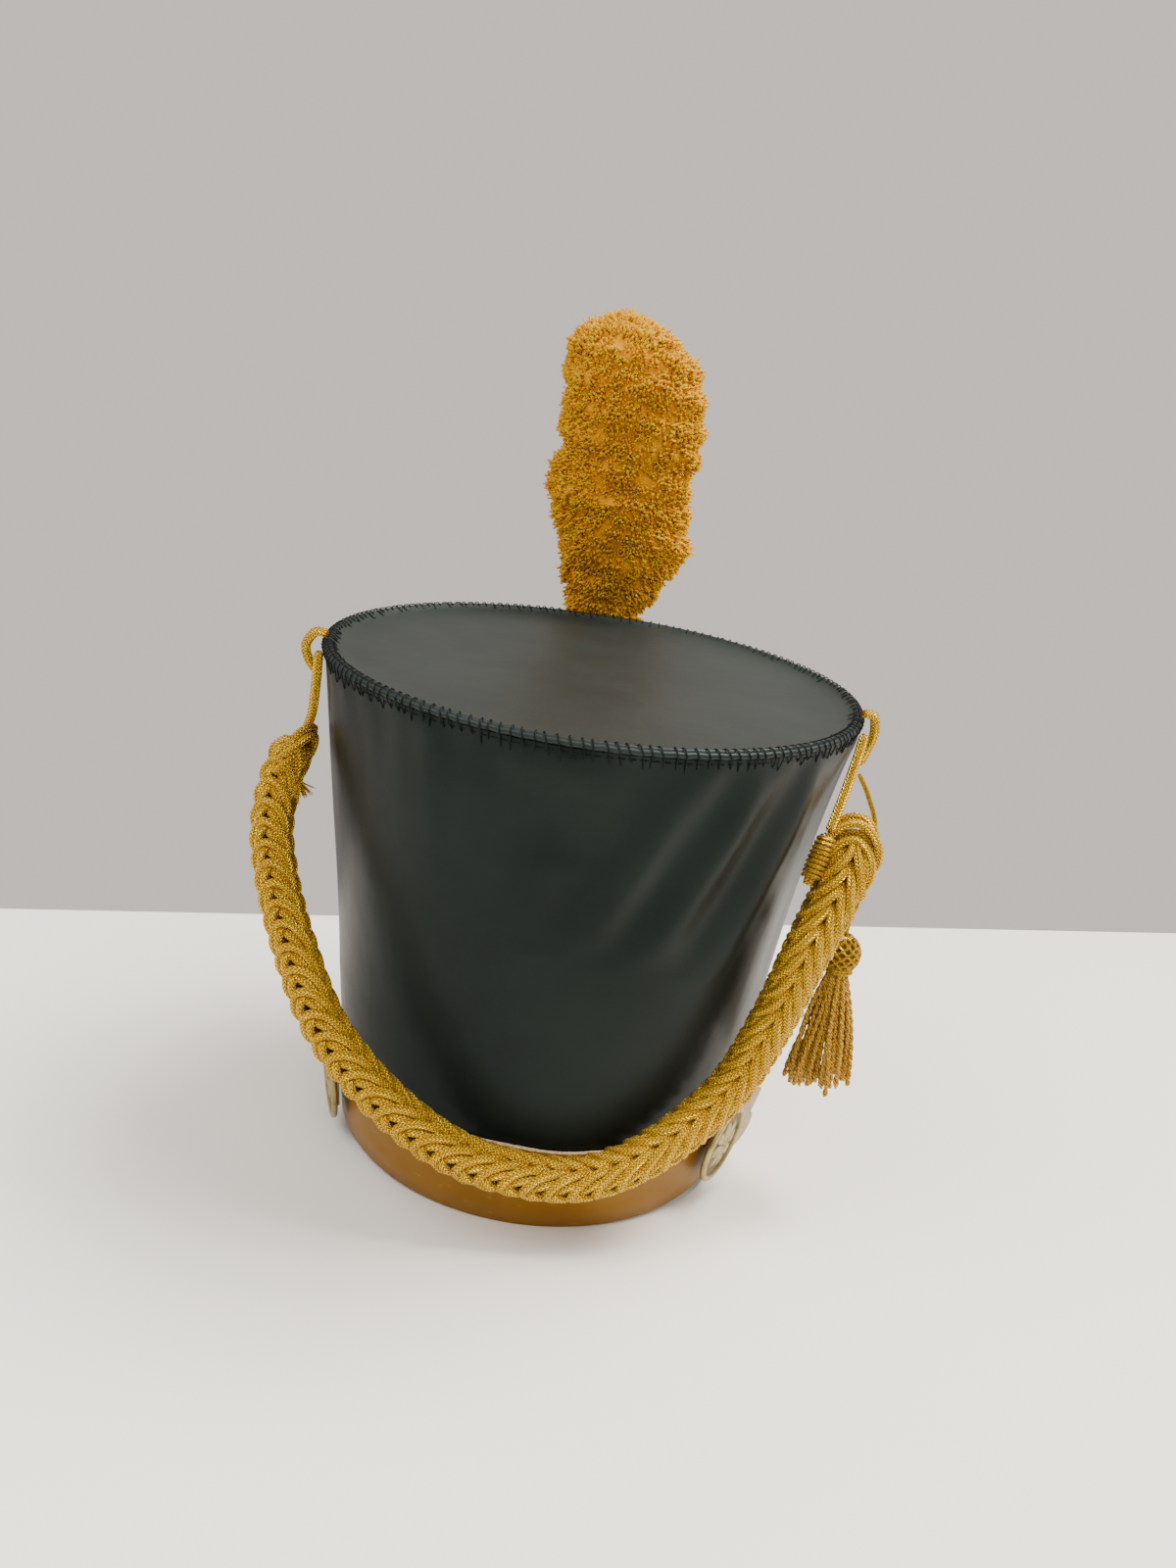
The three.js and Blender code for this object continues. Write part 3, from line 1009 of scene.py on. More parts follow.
    def running_stitch(self, angle: float) -> bpy.types.Object:
        """A short level stitch of the line of sewing below the seam."""
        points = []
        z = self.form.height - self.sewing_drop
        for step in (-0.75, -0.4, 0.0, 0.4, 0.75):
            turn = angle + step
            lift = (0.7 - 2.2 * step * step) * self.thread_radius
            radius = self.leather_radius(turn, z) + lift
            points.append(tuple(self.form.direction(turn) * radius + Vector((0, 0, z))))
        return Strand(np.array(points), self.thread_radius * 0.8, 4).build("running_stitch")

    def build(self, fitter: Fitter) -> None:
        """Builds and fits the wall, the top and the seam."""
        rest = self.form.rest()
        fitter.fit(self.wall_piece(), [Finish.CROWN_LEATHER], ["crown_shell"], rest)
        fitter.fit(self.top_piece(), [Finish.TOP_LEATHER], ["crown_top"], rest)
        fitter.fit(self.seam_piece(), [Finish.THREAD], (), rest)


@dataclass
class HeadBand:
    """The gold band, with its raw upper edge."""

    form: HatForm
    wall: float = 1.5 * MM
    round_steps: int = 240

    def build(self, fitter: Fitter) -> None:
        """Builds and fits the band."""
        low, high = self.form.rim_radius, self.form.radius(self.form.band_height)
        wall, top = self.wall, self.form.band_height
        profile = [
            (low - wall, 0.3 * MM), (low - wall * 0.7, 0.0), (low - wall * 0.3, 0.0),
            (low - 0.05 * MM, 0.35 * MM),
            (low + (high - low) * 0.25, top * 0.25), (low + (high - low) * 0.5, top * 0.5),
            (low + (high - low) * 0.75, top * 0.75), (high - 0.02 * MM, top - 0.5 * MM),
            (high - 0.3 * MM, top),
            (high - wall + 0.2 * MM, top), (high - wall, top - 0.4 * MM), (low - wall, 0.3 * MM),
        ]
        piece = spun("band_leather", profile, self.round_steps)
        piece.data.materials.append(fitter.palette.material(Finish.GOLD_LEATHER))
        piece.data.materials.append(fitter.palette.material(Finish.CUT_EDGE))
        for face in piece.data.polygons:
            face.material_index = int(face.center.z > top - 0.35 * MM)

        def eased(co: Vector) -> Vector:
            """Lets the upper edge wander a little, as cut leather does."""
            turn = math.atan2(co.x, co.y)
            share = (co.z / top) ** 2
            wander = 0.35 * MM * share * (math.sin(turn * 7.0) + 0.6 * math.sin(turn * 17.0 + 1.0))
            return co + Vector((0, 0, wander))

        shaped(piece, eased)
        finishes = [Finish.GOLD_LEATHER, Finish.CUT_EDGE]
        fitter.fit(piece, finishes, ["head_band"], self.form.rest())


class Softened(Enum):
    """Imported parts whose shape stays, with the edges rounded: node, slot, finish and bevel in metres."""

    PEAK = ("peak", "crown_leather", Finish.CROWN_LEATHER, 0.8 * MM)
    SOCKET = ("plume_socket", "crown_leather", Finish.CROWN_LEATHER, 0.8 * MM)

    def build(self, fitter: Fitter) -> None:
        """Copies the node's mesh, merges and rounds it, and fits it in the node's place."""
        node, slot, finish, width = self.value
        mesh = frame["nodes"][node].data.copy()
        piece = bpy.data.objects.new(f"{node}_leather", mesh)
        bpy.context.scene.collection.objects.link(piece)
        mesh.materials.clear()
        with editing(piece):
            bpy.ops.mesh.select_all(action="SELECT")
            bpy.ops.mesh.remove_doubles(threshold=0.01 * MM)
            bpy.ops.mesh.tris_convert_to_quads()
        apply_modifier(
            piece, "BEVEL", width=width, segments=3, limit_method="ANGLE", angle_limit=math.radians(45)
        )
        fitter.fit(piece, [finish], [node])


# --------------------------------------------------------------------------------------------------
# Plume
# --------------------------------------------------------------------------------------------------


@dataclass(frozen=True)
class PlumeSection:
    """A level section of the plume: its height, half sizes and middle, in millimetres on the upright hat."""

    z: float
    across: float
    deep: float
    x: float
    y: float


@dataclass
class Plume:
    """The wool plume: a lumpy core under a pile of cut wool."""

    form: HatForm
    sections: tuple[PlumeSection, ...] = (
        PlumeSection(190, 7, 6.5, 0, -121.5), PlumeSection(206, 15, 13, 1, -130),
        PlumeSection(227, 21, 19, 1, -138.5), PlumeSection(250, 31, 25, -2, -141),
        PlumeSection(263, 35, 27, -3, -141), PlumeSection(283, 38, 28, 2, -141),
        PlumeSection(297, 37, 27, 2, -141), PlumeSection(311, 36, 27, 0, -140),
        PlumeSection(327, 37.5, 28, 1, -140), PlumeSection(344, 36.5, 28, 3, -140),
        PlumeSection(359, 33, 25, 6, -140), PlumeSection(369, 26, 19, 9, -140),
        PlumeSection(375, 15, 11, 10, -140),
    )
    dome: tuple[PlumeSection, ...] = (PlumeSection(378, 8, 6, 10, -140), PlumeSection(379.5, 1, 1, 10, -140))
    pile: float = 5.0 * MM
    core_inset: float = 0.55
    tufts: int = 6000
    fibres_in_tuft: int = 4
    rng: np.random.Generator = field(default_factory=lambda: np.random.default_rng(SEED + 1))

    def profile(self, count: int) -> np.ndarray:
        """Height, half sizes and middle along the plume's outline, evenly spaced, one row each."""
        names = ("z", "across", "deep", "x", "y")
        rows = np.array([[getattr(part, name) for name in names] for part in (*self.sections, *self.dome)])
        reach = np.concatenate([[0.0], np.cumsum(np.hypot(np.diff(rows[:, 0]), np.diff(rows[:, 1])))])
        places = np.linspace(0.0, reach[-1], count)
        return np.stack([np.interp(places, reach, rows[:, k]) for k in range(5)], axis=1)

    def surface(self, rows: np.ndarray, turn: np.ndarray, inset: float) -> tuple[np.ndarray, np.ndarray]:
        """Points and normals on the plume.

        Args:
            rows: Rows of the profile with the rise of its outline as a last column.
            turn: Angles round the plume in radians.
            inset: Depth under the outer form in millimetres.

        Returns:
            Points in metres and unit normals, one row each.
        """
        z, across, deep, x, y, slope = rows.T
        lump = 1.0 + 0.045 * np.sin(turn * 3.0 + z * 0.09) * np.sin(z * 0.17 + 1.3)
        lump += 0.035 * np.sin(turn * 6.0 - z * 0.21) + 0.03 * np.sin(z * 0.42 + turn)
        out = np.stack([np.cos(turn) * deep, np.sin(turn) * across, np.zeros_like(z)], axis=1)
        out /= np.linalg.norm(out, axis=1)[:, None] + 1e-9
        normals = out * np.cos(slope)[:, None]
        normals[:, 2] = np.sin(slope)
        points = np.stack([x + across * lump * np.cos(turn), y + deep * lump * np.sin(turn), z], axis=1)
        return (points - normals * inset) * MM, normals

    def sloped(self, count: int) -> np.ndarray:
        """The profile with the angle of its normal above the level as a last column."""
        rows = self.profile(count)
        slope = np.arctan2(-np.gradient(rows[:, 1]), np.gradient(rows[:, 0]) + 1e-6)
        return np.column_stack([rows, slope])

    def core(self) -> bpy.types.Object:
        """The closed core under the pile."""
        sides, levels = 72, 70
        turns = np.linspace(0.0, 2.0 * np.pi, sides, endpoint=False)
        rings = []
        for row in self.sloped(levels):
            depth = self.pile / MM * self.core_inset
            shrink = [max(0.02, 1.0 - depth / max(size, 1.0)) for size in row[1:3]]
            narrow = row * np.array([1, *shrink, 1, 1, 1])
            narrow[0] = min(row[0], self.sections[-1].z - 1.5)
            rings.append(self.surface(np.tile(narrow, (sides, 1)), turns, 0.0)[0])
        faces = []
        for i in range(levels - 1):
            for j in range(sides):
                k = (j + 1) % sides
                faces.append((i * sides + j, i * sides + k, (i + 1) * sides + k, (i + 1) * sides + j))
        last = (levels - 1) * sides
        faces.append(tuple(range(sides - 1, -1, -1)))
        faces.append(tuple(range(last, last + sides)))
        piece = object_from("plume_core", np.vstack(rings), faces)
        # Painted shade: the whole core takes a fixed value towards the roots' colour, as the shaded floor of
        # the pile.
        pile_shade_and_tone = piece.data.attributes.new("pile_shade_and_tone", "FLOAT", "POINT")
        pile_shade_and_tone.data.foreach_set("value", np.full(levels * sides, 0.3, np.float32))
        return piece

    def wool(self) -> bpy.types.Object:
        """The pile: tufts of blunt cut fibres that fan out a little."""
        rows = self.sloped(400)
        weight = rows[:, 1] + 3.0
        chosen = rows[self.rng.choice(len(rows), self.tufts, p=weight / weight.sum())]
        turns = self.rng.uniform(0, 2 * np.pi, self.tufts)
        roots, normals = self.surface(chosen, turns, self.pile / MM)
        lean = normals + self.rng.normal(0, 0.10, normals.shape)
        length = self.pile * self.rng.normal(0.97, 0.04, self.tufts)
        length = np.where(self.rng.uniform(0, 1, self.tufts) < 0.04, length * 1.25, length)
        tone = self.rng.normal(0.5, 0.17, self.tufts)
        tone = np.where(self.rng.uniform(0, 1, self.tufts) < 0.16, tone + 0.4, tone)
        many = self.fibres_in_tuft
        count = self.tufts * many
        roots = np.repeat(roots, many, axis=0) + self.rng.normal(0, 0.85 * MM, (count, 3))
        way = np.repeat(lean, many, axis=0) + self.rng.normal(0, 0.2, (count, 3))
        way /= np.linalg.norm(way, axis=1)[:, None]
        length = np.repeat(length, many) * self.rng.normal(1.0, 0.07, count)
        tone = np.clip(np.repeat(tone, many) + self.rng.normal(0, 0.12, count), 0.0, 1.0)
        return self.blunt_fibres(roots, way, length, tone)

    def blunt_fibres(
        self, roots: np.ndarray, way: np.ndarray, length: np.ndarray, tone: np.ndarray
    ) -> bpy.types.Object:
        """One mesh of a closed three-sided fibre at each root, wider at its cut end.

        Args:
            roots: Where each fibre starts.
            way: Unit vector along it.
            length: Its length in metres.
            tone: How light it is, from 0 to 1.

        Returns:
            The new object with its attribute of painted pile shade and random tone.
        """
        count = len(roots)
        side = np.cross(way, [0.31, 0.22, 0.92])
        side /= np.linalg.norm(side, axis=1)[:, None] + 1e-9
        other = np.cross(way, side)
        radius = self.rng.uniform(0.5, 0.85, count)[:, None] * MM
        corners = []
        for share, scale in ((0.0, 0.6), (1.0, 1.0)):
            middle = roots + way * length[:, None] * share
            for number in range(3):
                turn = 2.0 * math.pi * number / 3.0
                corners.append(middle + radius * scale * (math.cos(turn) * side + math.sin(turn) * other))
        vertices = np.stack(corners, axis=1).reshape(-1, 3)
        start = 6 * np.arange(count)
        pattern = [(0, 1, 4), (0, 4, 3), (1, 2, 5), (1, 5, 4), (2, 0, 3), (2, 3, 5), (3, 4, 5), (2, 1, 0)]
        faces = (start[:, None, None] + np.array(pattern)[None]).reshape(-1, 3)
        piece = object_from("plume_pile", vertices, faces.tolist())
        # Painted shade and light: root corners take low values for the shade in the pile and cut ends high
        # ones for their light, scaled by each fibre's random tone.
        pile_shade_and_tone = np.stack([0.15 * tone] * 3 + [0.2 + 0.8 * tone] * 3, axis=1).astype(np.float32).ravel()
        layer = piece.data.attributes.new("pile_shade_and_tone", "FLOAT", "POINT")
        layer.data.foreach_set("value", pile_shade_and_tone)
        return piece

    def build(self, fitter: Fitter) -> None:
        """Builds and fits the core and the pile."""
        rest = self.form.rest()
        fitter.fit(self.core(), [Finish.PLUME_WOOL], ["plume"], rest)
        fitter.fit(self.wool(), [Finish.PLUME_WOOL], (), rest, crease=180.0)


# --------------------------------------------------------------------------------------------------
# Cords
# --------------------------------------------------------------------------------------------------


@dataclass
class Festoon:
    """The plaited cord that hangs round the back, with the cords that hold it to the seam."""

    form: HatForm
    cord: float = 4.1 * MM
    strand: float = 3.7 * MM
    pitch: float = 9.4 * MM
    width: float = 20 * MM
    end_spread: float = 0.35
    spread_length: float = 55 * MM
    # Half of one chain stitch, from the neck to the crown of its loop: across and depth in millimetres,
    # along in pitches; the front is at positive depth.
    arm: tuple[Point, ...] = (
        (1.6, 0.02, -3.6), (1.7, 0.34, -0.2), (2.0, 0.72, 2.9), (3.1, 1.20, 4.6), (4.7, 1.74, 4.0),
        (6.1, 2.22, 1.4), (6.9, 2.36, -2.2), (6.6, 1.92, -5.2), (4.0, 1.50, -6.2),
    )
    loop_crown: Point = (0.0, 1.34, -6.4)
    # The two strands of the doubled cord: apart along the plait's surface, and one raised over the other.
    beside: float = 0.84
    raised: float = 0.54
    # The short bridge behind the neck that leads to the next stitch.
    bridge: tuple[Point, ...] = ((-1.4, 0.32, -6.6), (0.0, 0.60, -7.2), (1.4, 0.84, -6.6))
    # One of the bights that close the plait's ends: it wraps over the end from edge to edge.
    end_bight: tuple[Point, ...] = (
        (-7.0, 1.3, -1.5), (-7.4, 0.6, 1.0), (-5.0, -0.1, 2.6), (-0.5, -0.55, 3.4), (4.6, -0.3, 2.8),
        (7.4, 0.4, 1.2), (7.7, 1.2, -1.8),
    )
    # Way that the plait's front faces along its route, from the right end to the left: share of the length
    # and vector.
    facing: tuple[tuple[float, Point], ...] = (
        (0.0, (0.05, 0.92, 0.35)), (0.25, (0.08, 0.88, 0.45)), (0.36, (0.0, 0.74, 0.66)),
        (0.48, (0.0, 0.42, 0.9)), (0.6, (-0.22, 0.25, 0.93)), (0.72, (-0.76, 0.16, 0.6)),
        (0.85, (-0.98, 0.16, 0.2)), (1.0, (-0.98, 0.16, 0.05)),
    )

    def centre_line(self) -> np.ndarray:
        """The plait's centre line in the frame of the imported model."""
        return smooth_line(self.form.route(FESTOON_ROUTE), 12)

    def frames(self, line: np.ndarray, places: np.ndarray) -> tuple[np.ndarray, np.ndarray, np.ndarray]:
        """Points, across directions and front directions at distances along a line.

        Args:
            line: Centre line.
            places: Distances from its start.

        Returns:
            Three arrays with a row for each distance.
        """
        reach = np.concatenate([[0.0], np.cumsum(np.linalg.norm(np.diff(line, axis=0), axis=1))])
        points = np.stack([np.interp(places, reach, line[:, k]) for k in range(3)], axis=1)
        over = np.maximum(places - reach[-1], 0.0)[:, None] + np.minimum(places, 0.0)[:, None]
        step = 2.0 * MM
        after = np.stack([np.interp(places + step, reach, line[:, k]) for k in range(3)], axis=1)
        before = np.stack([np.interp(places - step, reach, line[:, k]) for k in range(3)], axis=1)
        ahead = after - before
        ends = np.where(places[:, None] > reach[-1] / 2, line[-1] - line[-3], line[2] - line[0])
        ahead = np.where(np.linalg.norm(ahead, axis=1)[:, None] < step, ends, ahead)
        ahead /= np.linalg.norm(ahead, axis=1)[:, None]
        points = points + ahead * over
        share = places / reach[-1]
        known = [entry[0] for entry in self.facing]
        ways = [[entry[1][k] for entry in self.facing] for k in range(3)]
        front = np.stack([np.interp(share, known, way) for way in ways], axis=1)
        front -= ahead * np.sum(front * ahead, axis=1)[:, None]
        front /= np.linalg.norm(front, axis=1)[:, None]
        return points, np.cross(ahead, front), front

    def doubled(self, line: np.ndarray, places: Sequence[Point], name: str) -> list[bpy.types.Object]:
        """Two strands side by side along a path on the plait's surface.

        Args:
            line: The plait's centre line.
            places: The path: across, along and depth in metres.
            name: Name of the strands.

        Returns:
            The two strands.
        """
        path = smooth_line([Vector(place) for place in places], 3)
        ahead = np.gradient(path, axis=0)
        normal = np.stack([path[:, 0], np.zeros(len(path)), path[:, 2] * 2.4], axis=1)
        normal /= np.linalg.norm(normal, axis=1)[:, None] + 1e-9
        aside = np.cross(ahead, normal)
        aside /= np.linalg.norm(aside, axis=1)[:, None] + 1e-9
        strands = []
        # The strand on the centre's side rides a little higher, as each arm is tucked under the one before.
        for sign in (-0.5, 0.5):
            local = path + sign * self.strand * (aside * self.beside - normal * self.raised)
            opened = np.exp(-np.maximum(local[:, 1], 0.0) / self.spread_length)
            local[:, 0] *= 1.0 + self.end_spread * opened
            points, sideways, frontways = self.frames(line, local[:, 1])
            placed = points + sideways * local[:, :1] + frontways * local[:, 2:]
            strands.append(Strand(placed, self.strand / 2, 8).build(name))
        return strands

    def plait(self) -> bpy.types.Object:
        """The chain of loops: a doubled cord worked through itself along the route."""
        line = self.centre_line()
        length = line_length(line)
        stitches = round(length / self.pitch) - 1
        pitch = length / (stitches + 1.6)
        mirrored = [(-across, along, depth) for across, along, depth in reversed(self.arm)]
        stitch = [*self.arm, self.loop_crown, *mirrored, *self.bridge]
        places = []
        for number in range(stitches):
            places += [(a * MM, (number + b - 0.1) * pitch, c * MM) for a, b, c in stitch]
        strands = self.doubled(line, places, "plait_strand")
        for shift, scale in ((-0.15, 1.0), (0.6, 0.9)):
            first = [(a * scale * MM, (b + shift) * pitch, c * scale * MM) for a, b, c in self.end_bight]
            last = [(-a, length - b, c) for a, b, c in first]
            strands += self.doubled(line, first, "first_bight") + self.doubled(line, last, "last_bight")
        return joined("festoon_plait", strands)

    def held_cords(self, fitter: Fitter) -> list[bpy.types.Object]:
        """The loops and hangers at both ends, the binding and the frayed ends."""
        singles = (
            ("hanger_cord_right", HANGER_RIGHT_ROUTE, "hanger_right"),
            ("hanger_cord_left", HANGER_LEFT_ROUTE, "hanger_left"),
            ("loop_cord_right", LOOP_RIGHT_ROUTE, "loop_right"),
            ("loop_cord_left", LOOP_LEFT_ROUTE, "loop_left"),
        )
        pieces = []
        for name, route, node in singles:
            line = smooth_line(self.form.route(route), 8)
            piece = Strand(line, self.cord / 2, 12).build(name)
            pieces.append(fitter.fit(piece, [Finish.GOLD_CORD], [node]))
        pieces.append(fitter.fit(self.binding(), [Finish.GOLD_CORD], ["binding"]))
        pieces.append(fitter.fit(self.frayed_end(), [Finish.GOLD_CORD]))
        return pieces

    def binding(self) -> bpy.types.Object:
        """Turns of thin cord wound round the hanger's end."""
        top, bottom = (np.array(point) for point in self.form.route(BINDING_ENDS))
        axis = (bottom - top) / np.linalg.norm(bottom - top)
        side = np.cross(axis, [0.0, 0.0, 1.0])
        side /= np.linalg.norm(side)
        other = np.cross(axis, side)
        turns, per_turn, radius, thread = 9, 14, 3.2 * MM, 0.95 * MM
        points = []
        for step in range(turns * per_turn + 1):
            turn = 2.0 * math.pi * step / per_turn
            along = step / (turns * per_turn)
            swell = radius * (1.0 + 0.15 * math.sin(math.pi * along))
            round_axis = math.cos(turn) * side + math.sin(turn) * other
            points.append(top + (bottom - top) * along + swell * round_axis)
        wound = Strand(np.array(points), thread, 6).build("binding_turns")
        middle = Strand(np.array([top - axis * MM, (top + bottom) / 2, bottom + axis * 3 * MM]), radius, 12)
        return joined("binding_cord", [wound, middle.build("binding_middle")])

    def frayed_end(self) -> bpy.types.Object:
        """The teased-out end of the cord on the inner side of the plait's left end."""
        rng = np.random.default_rng(SEED + 2)
        start = np.array(self.form.route([(116.5, 49, 170)])[0])
        strands = []
        for _ in range(46):
            way = rng.normal(0, 0.42, 3) + np.array([-0.55, 0.45, -0.75])
            way /= np.linalg.norm(way)
            length = rng.uniform(5, 9) * MM
            bend = rng.normal(0, 1.1, 3) * MM
            line = np.array([
                start - way * 2 * MM, start + way * length * 0.5 + bend * 0.4, start + way * length + bend,
            ])
            strands.append(Strand(line, 0.28 * MM, 4).build("frayed_strand"))
        return joined("frayed_end", strands)

    def build(self, fitter: Fitter) -> None:
        plait = fitter.fit(self.plait(), [Finish.GOLD_CORD], ["festoon"])
        held = self.held_cords(fitter)
        line = self.centre_line()


@dataclass
class Tassel:
    """The tassel on the right: string, netted head and a fringe of twisted yarn."""

    form: HatForm
    string: float = 2.2 * MM
    head_radius: float = 8.4 * MM
    yarns: int = 44
    rng: np.random.Generator = field(default_factory=lambda: np.random.default_rng(SEED + 3))

    def middle(self) -> Vector:
        """Middle of the tassel's head."""
        return self.form.route([TASSEL_MIDDLE])[0]

    def head(self) -> bpy.types.Object:
        """A ball of wound cord under a net of crossing cords, with a collar."""
        radius = self.head_radius
        rows = [
            (0.0, -1.0), (0.62, -0.92), (0.68, -0.78), (0.9, -0.5), (1.0, -0.1), (0.97, 0.25), (0.8, 0.62),
        ]
        rows += [(0.5, 0.9), (0.26, 1.06), (0.0, 1.08)]
        ball = spun("tassel_ball", [(r * radius * 0.93, z * radius * 0.96) for r, z in rows], 32)
        ball.data.uv_layers.new(name="strand")
        strands = [ball]
        turns = 11
        for way in (-1.0, 1.0):
            for number in range(turns):
                strands.append(self.net_cord(2.0 * math.pi * number / turns, way))
        for level, size in ((-0.84, 0.70), (-0.98, 0.72), (0.97, 0.4)):
            strands.append(self.collar(level * radius, size * radius))
        return joined("tassel_net_head", strands)

    def net_cord(self, start: float, way: float) -> bpy.types.Object:
        """One slanting cord of the net, from the collar to the crown of the ball."""
        points = []
        for step in range(15):
            share = step / 14
            level = -0.80 + 1.72 * share
            width = math.sqrt(max(0.02, 1.0 - (level * 0.93) ** 2))
            turn = start + way * share * 2.1
            lift = 1.0 + 0.03 * math.sin(step * math.pi)
            radius = self.head_radius * width * lift
            points.append((radius * math.cos(turn), radius * math.sin(turn), self.head_radius * level))
        return Strand(np.array(points), 0.62 * MM, 6).build("net_cord")

    def collar(self, level: float, radius: float) -> bpy.types.Object:
        """A ring of cord round the head."""
        turns = np.linspace(0, 2 * np.pi, 29)
        points = np.stack([radius * np.cos(turns), radius * np.sin(turns), np.full(29, level)], axis=1)
        return Strand(points, 0.8 * MM, 6, 1.0).build("collar")

    def fringe(self) -> bpy.types.Object:
        """Yarns that fall from the collar and spread, each with two twisted plies."""
        strands = []
        top = -self.head_radius * 1.02
        for number in range(self.yarns):
            turn = number * 2.399963 + self.rng.uniform(-0.2, 0.2)
            share = math.sqrt((number + 0.5) / self.yarns)
            start = np.array([3.6 * math.cos(turn), 4.0 * math.sin(turn), 0.0]) * share * MM
            spread = np.array([14.6 * math.cos(turn), 12.6 * math.sin(turn), 0.0]) * share * MM
            length = self.rng.uniform(52, 57) * MM
            bend = self.rng.normal(0, 0.7, 2) * MM
            points = []
            for step in range(13):
                fall = step / 12
                opened = 1.0 - (1.0 - fall) ** 1.8
                sway = math.sin(fall * math.pi * 1.4) * bend
                place = start + (spread - start) * opened + np.array([sway[0], sway[1], 0.0])
                points.append(place + np.array([0.0, 0.0, top - length * fall]))
            strands.extend(self.twisted(np.array(points), number))
        return joined("tassel_yarns", strands)

    def twisted(self, line: np.ndarray, number: int) -> list[bpy.types.Object]:
        """Two plies wound round a line.

        Args:
            line: The yarn's middle.
            number: Number of the yarn, which sets where its twist starts.

        Returns:
            The plies.
        """
        fine = smooth_line([Vector(point) for point in line], 4)
        plies = []
        for ply in range(2):
            turn = np.arange(len(fine)) * 0.82 + ply * math.pi + number
            offset = np.stack([np.cos(turn), np.sin(turn), np.zeros(len(fine))], axis=1) * 0.55 * MM
            plies.append(Strand(fine + offset, 0.72 * MM, 5).build("ply"))
        return plies

    def build(self, fitter: Fitter) -> None:
        place = Matrix.Translation(self.middle())
        head = fitter.fit(self.head(), [Finish.GOLD_CORD], ["tassel_head"], place)
        fringe = fitter.fit(self.fringe(), [Finish.GOLD_YARN], ["tassel_fringe"], place)
        # The string runs on through the head and ends among the yarns.
        middle = self.middle()
        inside = [middle, middle - Vector((0, 0, 30 * MM))]
        line = smooth_line(self.form.route(TASSEL_STRING_ROUTE) + inside, 10)
        string = Strand(line, self.string / 2, 8).build("tassel_cord")
        fitter.fit(string, [Finish.GOLD_CORD], ["tassel_string"])


# --------------------------------------------------------------------------------------------------
# Side ornaments
# --------------------------------------------------------------------------------------------------


class Side(Enum):
    """The hat's sides: word, sign of the plate's forward direction, angle in degrees and height in metres."""

    RIGHT = ("right", 1.0, -61.0, 25 * MM)
    LEFT = ("left", -1.0, 69.0, 20 * MM)


